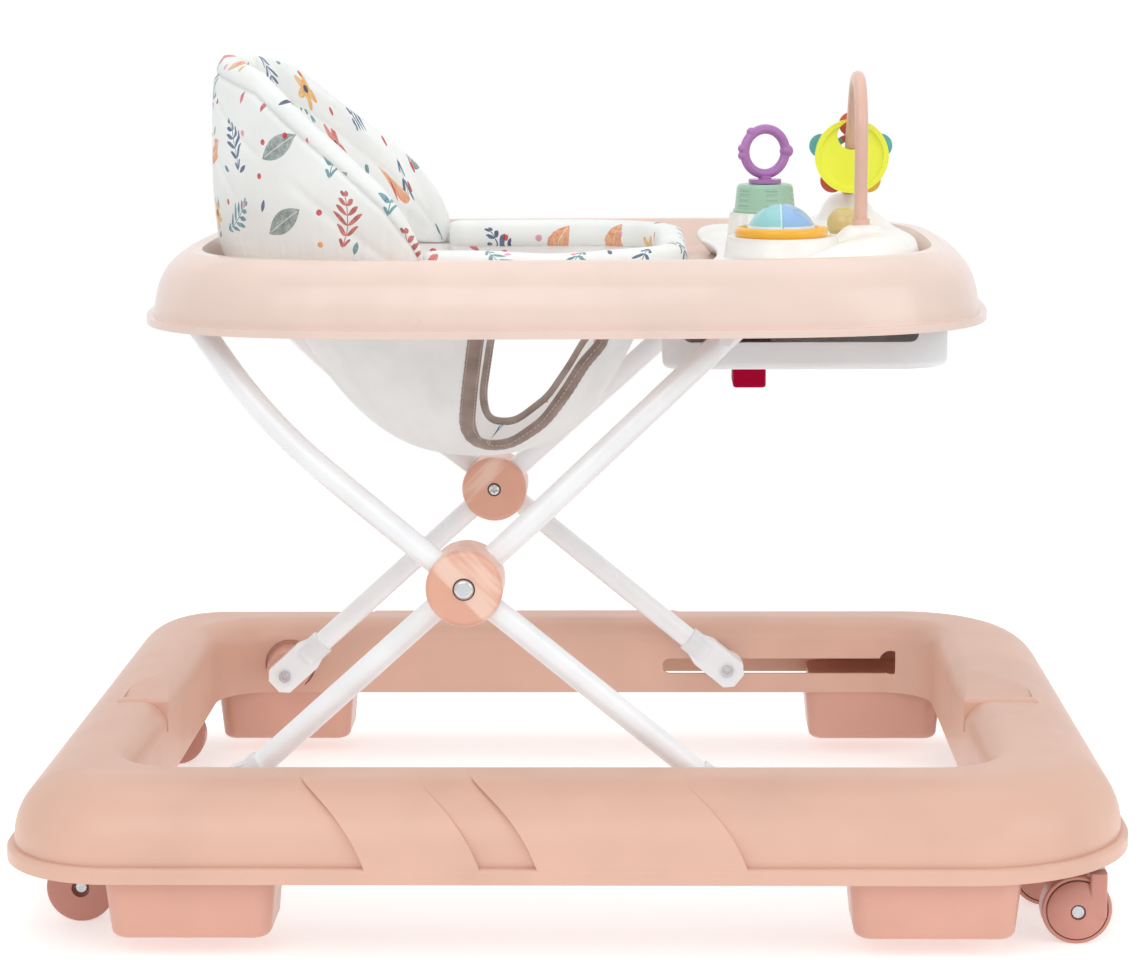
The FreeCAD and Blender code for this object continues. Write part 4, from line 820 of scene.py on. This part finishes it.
def hole_curve(count, grow):
    """Inner edge of the leg hole's tape seen from the side, as complex x + i height, pushed
    outwards by grow. The knots run anticlockwise, so outwards is to the right of the curve's
    step."""
    curve = smooth_loop(HOLE, count)
    step = np.roll(curve, -1) - np.roll(curve, 1)
    return curve - step / np.abs(step) * 1j * grow


def on_bowl(flat, side, inset):
    """Puts side-view points (x + i height) on the bowl, at the side's y."""
    depth = np.clip((flat.imag - inset) / (SLING_TOP - SLING_LOW - inset), 1e-4, 1)
    a, b, centre = oval(depth, inset)
    cosine = np.clip((flat.real - centre) / a, -0.999, 0.999)
    return stacked(flat.real, side * b * np.sqrt(1 - cosine ** 2), SLING_LOW + flat.imag)


def in_loop(points, loop):
    """Even-odd test of complex points against a closed polygon."""
    x, y = points.real[..., None], points.imag[..., None]
    x1, y1 = loop.real, loop.imag
    x2, y2 = np.roll(x1, -1), np.roll(y1, -1)
    crosses = ((y1 > y) != (y2 > y)) & (x < (x2 - x1) * (y - y1) / (y2 - y1 + 1e-12) + x1)
    return np.sum(crosses, axis=-1) % 2 == 1


def sling_skin(name, inset, cloth, flip):
    """One face of the sling: the bowl as a fine grid, with the quads inside the leg holes taken out
    and the points beside them drawn onto the hole's edge. The lining is flipped, so that it faces
    in."""
    rows, columns = 110, 420
    depth = np.clip(0.012 + 0.988 * np.linspace(0, 1, rows)[:, None] ** 2.1, 0, 1)
    angle = circle(columns, 1)
    top, line = (SLING_TOP + 0.0045, pad_reach) if flip else (SLING_TOP, opening_reach)
    points = flared(bowl(angle, depth, inset), angle, depth, top, line).reshape(-1, 3)
    flat = points[:, 0] + 1j * (points[:, 2] - SLING_LOW)
    edge = hole_curve(240, TAPE_HALF)
    faces = grid_faces(rows, columns, wrap_columns=True)
    keep = ~np.any(in_loop(flat, edge)[faces], axis=1)
    rim = np.intersect1d(faces[~keep], faces[keep])
    near = np.argmin(np.abs(flat[rim, None] - edge[None]), axis=1)
    points[rim] = on_bowl(edge[near], np.sign(points[rim, 1]), inset)
    used, faces = np.unique(faces[keep], return_inverse=True)
    faces = faces.reshape(-1, 4).tolist() + [list(range(columns))[::-1]]
    if flip:
        faces = [face[::-1] for face in faces]
    piece = mesh_piece(name, points[used], faces, cloth)
    p = points_of(piece)
    lay_cloth_map(piece, np.arctan2(p[:, 1], p[:, 0] + 0.07) * 0.115, p[:, 2] * 1.15 + 0.7)
    return piece


def leg_tape(side, cloth):
    """Tape folded round the edge of a leg hole: a flat oval section, twice TAPE_HALF wide, carried
    round the hole's edge and standing a little proud of both faces of the sling, with small gathers
    along its outer edge."""
    count = 240
    mid = on_bowl(hole_curve(count, TAPE_HALF), side, TAPE_INSET)
    outer = on_bowl(hole_curve(count, 2 * TAPE_HALF), side, TAPE_INSET)
    across = unit(outer - mid)
    thick = np.cross(unit(np.roll(mid, -1, axis=0) - np.roll(mid, 1, axis=0)), across)
    v = circle(24, 1)[..., None]
    gathers = np.sin(np.arange(count) * TAU * 58 / count)[:, None, None]
    pucker = gathers * np.clip(np.cos(v), 0, 1) ** 2
    points = mid[:, None] + TAPE_HALF * rounded(np.cos(v), 3.0) * across[:, None]
    points = points + (0.0032 * np.sin(v) + 0.0004 * pucker) * thick[:, None]
    name = "leg_tape_left" if side > 0 else "leg_tape_right"
    piece = surface_piece(name, points, cloth, ring=True)
    p = points_of(piece)
    near = np.argmin(np.linalg.norm(p[:, None] - mid[None], axis=2), axis=1)
    travel = np.concatenate([[0], np.cumsum(np.linalg.norm(np.diff(mid, axis=0), axis=1))])
    lay_cloth_map(piece, travel[near], np.sum((p - mid[near]) * across[near], axis=1))
    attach(piece, "tray")
    return piece


# ---- toys ----
TOY_DECK = 0.425
TOY_LOW = 0.4134
HILLS = (  # centre, radius, height, slope, edge, blend
    ((0.1965, -0.060), 0.0100, 0.0198, 1.05, 0.004, 0.006),
    (KNOB_AT, 0.0165, 0.0060, 2.0, 0.003, 0.003),
    ((0.112, 0.098), 0.0200, 0.0080, 0.8, 0.006, 0.004))
WAVES = (  # middle, half width, height, length
    (-0.078, 0.030, 0.0152, 0.0165), (0.0, 0.040, 0.0110, 0.014), (0.066, 0.020, 0.0235, 0.034))


def smooth_max(a, b, width):
    """The larger of two heights, with a fillet where they cross."""
    return np.maximum(a, b) + np.maximum(width - np.abs(a - b), 0) ** 2 / (4 * width)


def smooth_min(a, b, width):
    """The smaller of two heights, with a fillet where they cross."""
    return -smooth_max(-a, -b, width)


def hill(x, y, centre, radius, height, slope, edge):
    """Flat top with a rounded edge and a straight flank: the smaller of the height and a cone."""
    far = np.hypot(x - centre[0], y - centre[1])
    return smooth_min(height, height - slope * (far - radius), edge)


def front_reach(y):
    """Front edge of the play tray: a superellipse of power 4, 241 by 172 mm, about x = -4 mm."""
    return -0.004 + 0.241 * np.clip(1 - (np.abs(y) / 0.172) ** 4, 0, 1) ** 0.25


def rear_reach(y):
    """Rear edge of the play tray: one long shallow parabola between two tips 112 mm from its
    middle, and cut-back outer corners."""
    off, tip = np.abs(y + 0.022), 0.112
    curve = 0.0870 + 0.0120 * (1 - (off / tip) ** 2)
    return np.where(off < tip, curve, 0.0870 + 0.030 * (np.maximum(off - tip, 0) / 0.080) ** 1.4)


def play_height(x, y):
    """Height over the deck: smooth union of the hills under the toys and of the waves along the
    front edge, which rise steeply from the edge and fall back slowly towards the middle. Under the
    press knob it is held low."""
    cup_radius = 0.0240 + 0.0006 * np.cos(18 * np.arctan2(y - CUP_AT[1], x - CUP_AT[0]))
    height = hill(x, y, DOME_AT, 0.0362, 0.0136, 6.0, 0.003)
    height = smooth_max(height, hill(x, y, CUP_AT, cup_radius, 0.0236, 9.0, 0.002), 0.003)
    far = np.hypot(x - 0.195, y - 0.070) / 0.0225
    height = smooth_max(height, 0.0335 * np.sign(1 - far ** 3) * np.abs(1 - far ** 3) ** 0.6, 0.006)
    for *form, blend in HILLS:
        height = smooth_max(height, hill(x, y, *form), blend)
    edge = front_reach(y) - x
    for middle, half, top, end in WAVES:
        across = np.maximum(np.abs(y - middle) - half, 0)
        near = np.clip(1 - edge / end, 0, 1)
        wave = top * (1 - across / 0.034 * (0.4 + across / 0.034))
        wave = wave - end * (1 - np.sqrt(1 - near ** 2)) * top / 0.0165
        wave = smooth_min(wave, top - 0.6 * (edge - 0.045), 0.010)
        height = smooth_max(height, wave, 0.008)
    under_knob = 0.0054 + 3.0 * np.maximum(np.hypot(x - KNOB_AT[0], y - KNOB_AT[1]) - 0.0135, 0)
    return smooth_min(smooth_max(height, 0, 0.003), under_knob, 0.002)


TOY_ROUND = 0.0025


def play_tray(plastic):
    """White play tray: a height field on rows from the rear edge to the front edge, rounded down at
    its outline by a quarter circle, with a skirt that is set in under the rear edge and a flat
    bottom."""
    rows, columns = 281, 141
    y = 0.1703 * np.linspace(-1, 1, rows)
    window = np.hanning(11)[1:-1]
    rear = np.convolve(np.pad(rear_reach(y), 4, mode="edge"), window / window.sum(), "valid")
    t = np.linspace(0, 1, columns)
    u = 0.5 * (0.5 - 0.5 * np.cos(math.pi * t)) + 0.5 * t
    x = rear[:, None] + u[None, :] * (front_reach(y) - rear)[:, None]
    y = y[:, None] + 0 * x
    ring = np.concatenate([
        np.arange(columns), np.arange(1, rows) * columns + columns - 1,
        (rows - 1) * columns + np.arange(columns - 2, -1, -1),
        np.arange(rows - 2, 0, -1) * columns])
    flat = (x + 1j * y).ravel()
    inward = np.min(np.abs(flat[:, None] - flat[ring][None]), axis=1)
    round_off = TOY_ROUND - np.sqrt(TOY_ROUND ** 2 - np.maximum(TOY_ROUND - inward, 0) ** 2)
    z = TOY_DECK + play_height(x, y).ravel() - round_off
    top = stacked(flat.real, flat.imag, z)
    skirt = top[ring].copy()
    skirt[:, 0] += 0.010 * np.clip((0.125 - skirt[:, 0]) / 0.02, 0, 1)
    skirt[:, 2] = TOY_LOW
    below = len(top) + np.arange(len(ring))
    walls = stacked(ring, np.roll(ring, -1), np.roll(below, -1), below)
    faces = grid_faces(rows, columns).tolist() + walls.tolist() + [below.tolist()]
    piece = mesh_piece("play_tray", np.concatenate([top, skirt]), faces, plastic)
    outward(piece)
    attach(piece, "tray")
    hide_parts("toy_tray")


def revolved(name, centre, radius, height, material, turns):
    """Surface of revolution, whose radius is a function of the angle along a profile of heights."""
    angle = circle(turns, 1)
    far = radius(angle)
    x, y = centre[0] + far * np.cos(angle), centre[1] + far * np.sin(angle)
    points = stacked(x, y, height[:, None])
    return surface_piece(name, points, material)


def dome_cap(plastic):
    """Spinner dome: a sphere cap on a short skirt, with a narrow groove along each quarter."""
    sphere, skirt, top, low = 0.0245, 0.0230, 0.4602, 0.4385
    t = np.linspace(0.004, math.asin(skirt / sphere), 60)
    height = top - sphere * (1 - np.cos(t))
    profile = np.concatenate([sphere * np.sin(t), [skirt, skirt]])[:, None]
    height = np.concatenate([height, [height[-1] - 0.004, low]])

    def grooved(angle):
        off = np.abs((angle + TAU / 8) % (TAU / 4) - TAU / 8) * profile
        return profile - 0.0006 * np.exp(-(off / 0.0005) ** 2) * (profile > 0.002)

    piece = revolved("dome_cap", DOME_AT, grooved, height, plastic, turns=480)
    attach(piece, "dome")
    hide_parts("spinner_dome")


def dome_ring(plastic):
    """Amber ring round the dome: a rounded oblong section on a circle of 27.6 mm."""
    v, around = circle(40, 1), circle(160, 0)
    radius = 0.0276 + 0.0037 * rounded(np.cos(v), 2.4)
    height = 0.4414 + 0.0036 * rounded(np.sin(v), 2.4)
    x, y = DOME_AT[0] + radius * np.cos(around), DOME_AT[1] + radius * np.sin(around)
    points = stacked(x, y, height)
    piece = surface_piece("dome_ring", points, plastic, ring=True)
    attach(piece, "tray")
    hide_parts("spinner_ring")


def cup_shell(plastic):
    """Upturned cup: a flange, a wall that leans in, and a rounded top. Six panels are set back by
    0.6 mm, and each has three low bars across it."""
    shoulder, bend_radius = 0.4655, 0.0028
    turn = np.linspace(0.1, 1, 12) * math.pi / 2
    z = np.concatenate([
        [0.4486, 0.4506], np.linspace(0.4510, shoulder, 90), shoulder + bend_radius * np.sin(turn)])
    bend = np.clip((z - shoulder) / bend_radius, 0, 1)
    wall = 0.0212 - 0.10 * (z - 0.451) - bend_radius * (1 - np.sqrt(1 - bend ** 2))
    wall[:2] = 0.0223

    def panelled(angle):
        off = np.abs((angle + 1.9) % (TAU / 6) - TAU / 12)
        panel = 1 / (1 + np.exp((off - 0.21) / 0.012))
        inside = ((z > 0.4525) & (z < 0.4640))[:, None]
        bars = 0.5 - 0.5 * np.cos((z[:, None] - 0.4525) / 0.00383 * TAU)
        return wall[:, None] - 0.0006 * panel * inside * (1 - 0.85 * bars ** 3)

    piece = revolved("cup_shell", CUP_AT, panelled, z, plastic, turns=360)
    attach(piece, "tray")
    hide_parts("toy_cup")


# ---- screws ----
PIVOT_X = -0.067
PIVOT_Z = 0.224


def screw_ring(name, place, side, radius, wide, shade):
    """Flat ring of painted shade in the xz plane, for the shaded recess round a screw: a shallow
    oval section on a circle.
    """
    v, turn = circle(12, 1), circle(72, 0)
    far = radius + wide * (0.5 + 0.5 * np.cos(v))
    x, z = place[0] + far * np.cos(turn), place[2] + far * np.sin(turn)
    points = stacked(x, place[1] + side * 0.00025 * np.sin(v), z)
    piece = surface_piece(name, points, shade, ring=True)
    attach(piece, "bent_frame")


def screw_head(name, place, side, radius, metal):
    """Domed head facing along y: its height falls with a power of the distance from the middle, and
    a cross recess with soft walls is sunk in it."""
    t = np.linspace(0, 1, 40)[:, None]
    angle = circle(96, 1)
    far = radius * t
    u, w = far * np.cos(angle), far * np.sin(angle)
    dome = 0.45 * radius * np.sqrt(np.clip(1 - 0.93 * t ** 2.2, 0, 1))
    arm = np.minimum(np.abs(u), np.abs(w)) / radius
    reach = np.maximum(np.abs(u), np.abs(w)) / radius
    cross = 1 / (1 + np.exp((arm - 0.12) / 0.012)) / (1 + np.exp((reach - 0.50) / 0.03))
    out = dome - 0.30 * radius * cross
    head = stacked(place[0] + u, place[1] + side * out, place[2] + w)
    skirt = head[-1:].copy()
    skirt[..., 1] = place[1] - side * 0.0006
    piece = surface_piece(name, np.concatenate([head, skirt]), metal)
    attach(piece, "bent_frame")


# ---- studio ----
AIR = 0.8
LAMPS = (  # name, place, aim, size, power
    ("key", (-0.8, -2.6, 2.3), (0, 0, 0.3), (2.4, 1.8), 20.0),
    ("fill", (2.4, -1.8, 1.6), (0, 0, 0.3), (1.8, 1.8), 13.0),
    ("top", (0.0, 0.3, 3.0), (0, 0, 0.2), (2.6, 2.6), 10.0))
FLOOR_HALF = 6.0
LENS = 36.0 * 2933.95 / 1141  # mm, for a sensor 36 mm wide


def direct_ray(f):
    """1 for camera, glossy and transmission rays, else 0."""
    seen = f.node("LightPath").socket.node.outputs
    rays = [Wire(f, seen[f"Is {kind} Ray"]) for kind in ("Camera", "Glossy", "Transmission")]
    return rays[0].either(rays[1]).either(rays[2])


def studio_floor():
    """White floor: it takes the walker's shadow near by, and is plain white paper further out."""
    f = Finish("pale floor")
    direct = direct_ray(f)
    x, y, _ = f.parts(f.place())
    far = (x * x + y * y).sqrt().soft(0.75, 1.5)
    paper = f.node("BsdfDiffuse", None, {0: (0.86, 0.86, 0.86, 1)})
    glow = f.node("Emission", None, {0: (1, 1, 1, 1), 1: direct * 0.12 + 0.34})
    near = f.node("AddShader", None, {0: paper, 1: glow})
    white = f.node("Emission", None, {0: (1, 1, 1, 1), 1: direct * 0.6 + 0.4})
    material = f.joined(f.node("MixShader", None, {0: far, 1: near, 2: white}))
    corners = FLOOR_HALF * np.array([[-1, -1, 0], [1, -1, 0], [1, 1, 0], [-1, 1, 0]])
    floor = mesh_piece("studio_floor", corners, [[0, 1, 2, 3]], material)


def placed(name, data, right, up, back, place):
    """Links an object with the given axes and place."""
    thing = bpy.data.objects.new(name, data)
    basis = np.eye(4)
    basis[:3] = stacked(right, up, back, place)
    thing.matrix_world = Matrix(basis.tolist())
    bpy.context.collection.objects.link(thing)
    return thing


def lamp(name, place, aim, size, power):
    """Rectangular lamp that faces its aim."""
    light = assign(bpy.data.lights.new(name, "AREA"), shape="RECTANGLE", size=size[0],
                   size_y=size[1], energy=power)
    back = unit(np.array(place) - np.array(aim))
    right = unit(np.cross([0.0, 0.0, 1.0], back))
    placed(name, light, right, np.cross(back, right), back, place)


def studio():
    """White air all round, and three soft lamps."""
    f = Finish("studio air", bpy.data.worlds, "World")
    air = f.node("Background", None, {0: (1, 1, 1, 1), 1: direct_ray(f).either(AIR)})
    bpy.context.scene.world = f.joined(air)
    for row in LAMPS:
        lamp(*row)


def camera():
    """The fitted view of the walker's right side, from a little above."""
    place = (0.04844, -2.05915, 0.5958)
    yaw, pitch, roll = 0.0253, 0.1638, -0.0059
    ahead = np.array([
        -math.sin(yaw) * math.cos(pitch), math.cos(yaw) * math.cos(pitch), -math.sin(pitch)])
    level = np.array([math.cos(yaw), math.sin(yaw), 0.0])
    over = np.cross(level, ahead)
    right = math.cos(roll) * level + math.sin(roll) * over
    up = math.cos(roll) * over - math.sin(roll) * level
    data = assign(bpy.data.cameras.new("view"), sensor_width=36.0, sensor_fit="HORIZONTAL",
                  lens=LENS, clip_start=0.05, clip_end=40.0)
    bpy.context.scene.camera = placed("view", data, right, up, -ahead, place)


def dress(node, material):
    """Gives a CAD piece its finish."""
    piece = frame["nodes"][node]
    piece.data.materials.clear()
    piece.data.materials.append(material)


# ---- build ----
COTTON = (tone(249, 252, 250), tone(239, 242, 240))
bpy.context.scene.view_settings.view_transform = "Standard"
camera()
studio()
studio_floor()

PLASTICS = (  # slot, name, colour, roughness, coat
    ("base_plastic", "base plastic", (222, 179, 159), 0.44, 0.15),
    ("disc_plastic", "disc plastic", (218, 164, 145), 0.36, 0.25),
    ("wheel_plastic", "wheel plastic", (200, 138, 123), 0.36, 0.3),
    ("tray_plastic", "tray plastic", (237, 212, 200), 0.3, 0.4),
    ("grey_plastic", "grey plastic", (196, 196, 198), 0.4, 0.0),
    ("toy_white", "toy white", (248, 246, 241), 0.3, 0.4),
    ("arch_plastic", "arch plastic", (230, 187, 168), 0.32, 0.4),
    ("cup_green", "cup plastic", (164, 204, 180), 0.34, 0.3),
    ("ring_purple", "rattle plastic", (178, 118, 186), 0.32, 0.3),
    ("ring_amber", "dome ring plastic", (250, 184, 36), 0.3, 0.4),
    ("knob_amber", "knob plastic", (218, 194, 128), 0.28, 0.4),
    ("disc_yellow", "disc lime plastic", (249, 255, 66), 0.3, 0.3))
finishes = {slot: moulded(name, tone(*colour), rough, coat)
            for slot, name, colour, rough, coat in PLASTICS}
cotton = print_cloth("printed cotton", *COTTON)
finishes.update(
    dome_blue=dome_sectors(), petal_teal=petal_colours(), white_tube=coated_tube(),
    steel=bright_steel(), binding_fabric=tape_cloth(), seat_fabric=cotton,
    red_plastic=moulded("catch plastic", tone(172, 0, 50), 0.5, Specular_IOR_Level=0.06),
    white_plastic=moulded(
        "white plastic", tone(241, 244, 247), 0.4, Subsurface_Weight=0.35,
        Subsurface_Radius=(1.0, 1.0, 1.0), Subsurface_Scale=0.008))
highlight_streaked_plastic = highlight_streaked("pivot disc plastic")
smooth_steel = moulded("screw steel", tone(206, 208, 210), 0.2, Metallic=1.0)
shade = painted_recess_shade()
for subpart in frame["record"]["subparts"]:
    dress(subpart["node"], finishes[subpart["material_slot"]])
dress("outer_pivot_discs", highlight_streaked_plastic)
dress("inner_pivot_discs", highlight_streaked_plastic)
dress("pivot_rivets", smooth_steel)

seat_back(print_cloth("printed cotton, seamed", *COTTON, seamed=True))
seat_rim(cotton)
outside = sling_skin("sling_outside", 0.0, white_lining(), flip=False)
# The lining is the printed cotton on a greyer ground: painted shade for the inside of the sling.
lining = print_cloth("printed cotton, lining", tone(238, 235, 233), tone(226, 222, 220))
inside = sling_skin("sling_lining", LINING_INSET, lining, flip=True)
for skin in (outside, inside):
    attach(skin, "tray")
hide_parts("seat_sling")
tapes = [leg_tape(side, finishes["binding_fabric"]) for side in (1, -1)]
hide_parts("leg_bindings")

for name, side in (("right", -1), ("left", 1)):
    outer, inner, head = [(PIVOT_X, side * y, PIVOT_Z) for y in (0.2171, 0.1729, 0.1728)]
    # Dark rings of painted shade round the pivot screws.
    screw_ring(f"pivot_ring_{name}_outer", outer, side, 0.0064, 0.0009, shade)
    screw_ring(f"pivot_ring_{name}_inner", inner, -side, 0.0040, 0.0012, shade)
    screw_head(f"pivot_screw_{name}_inner", head, -side, 0.0041, smooth_steel)

play_tray(finishes["toy_white"])
dome_cap(finishes["dome_blue"])
dome_ring(finishes["ring_amber"])
cup_shell(finishes["cup_green"])
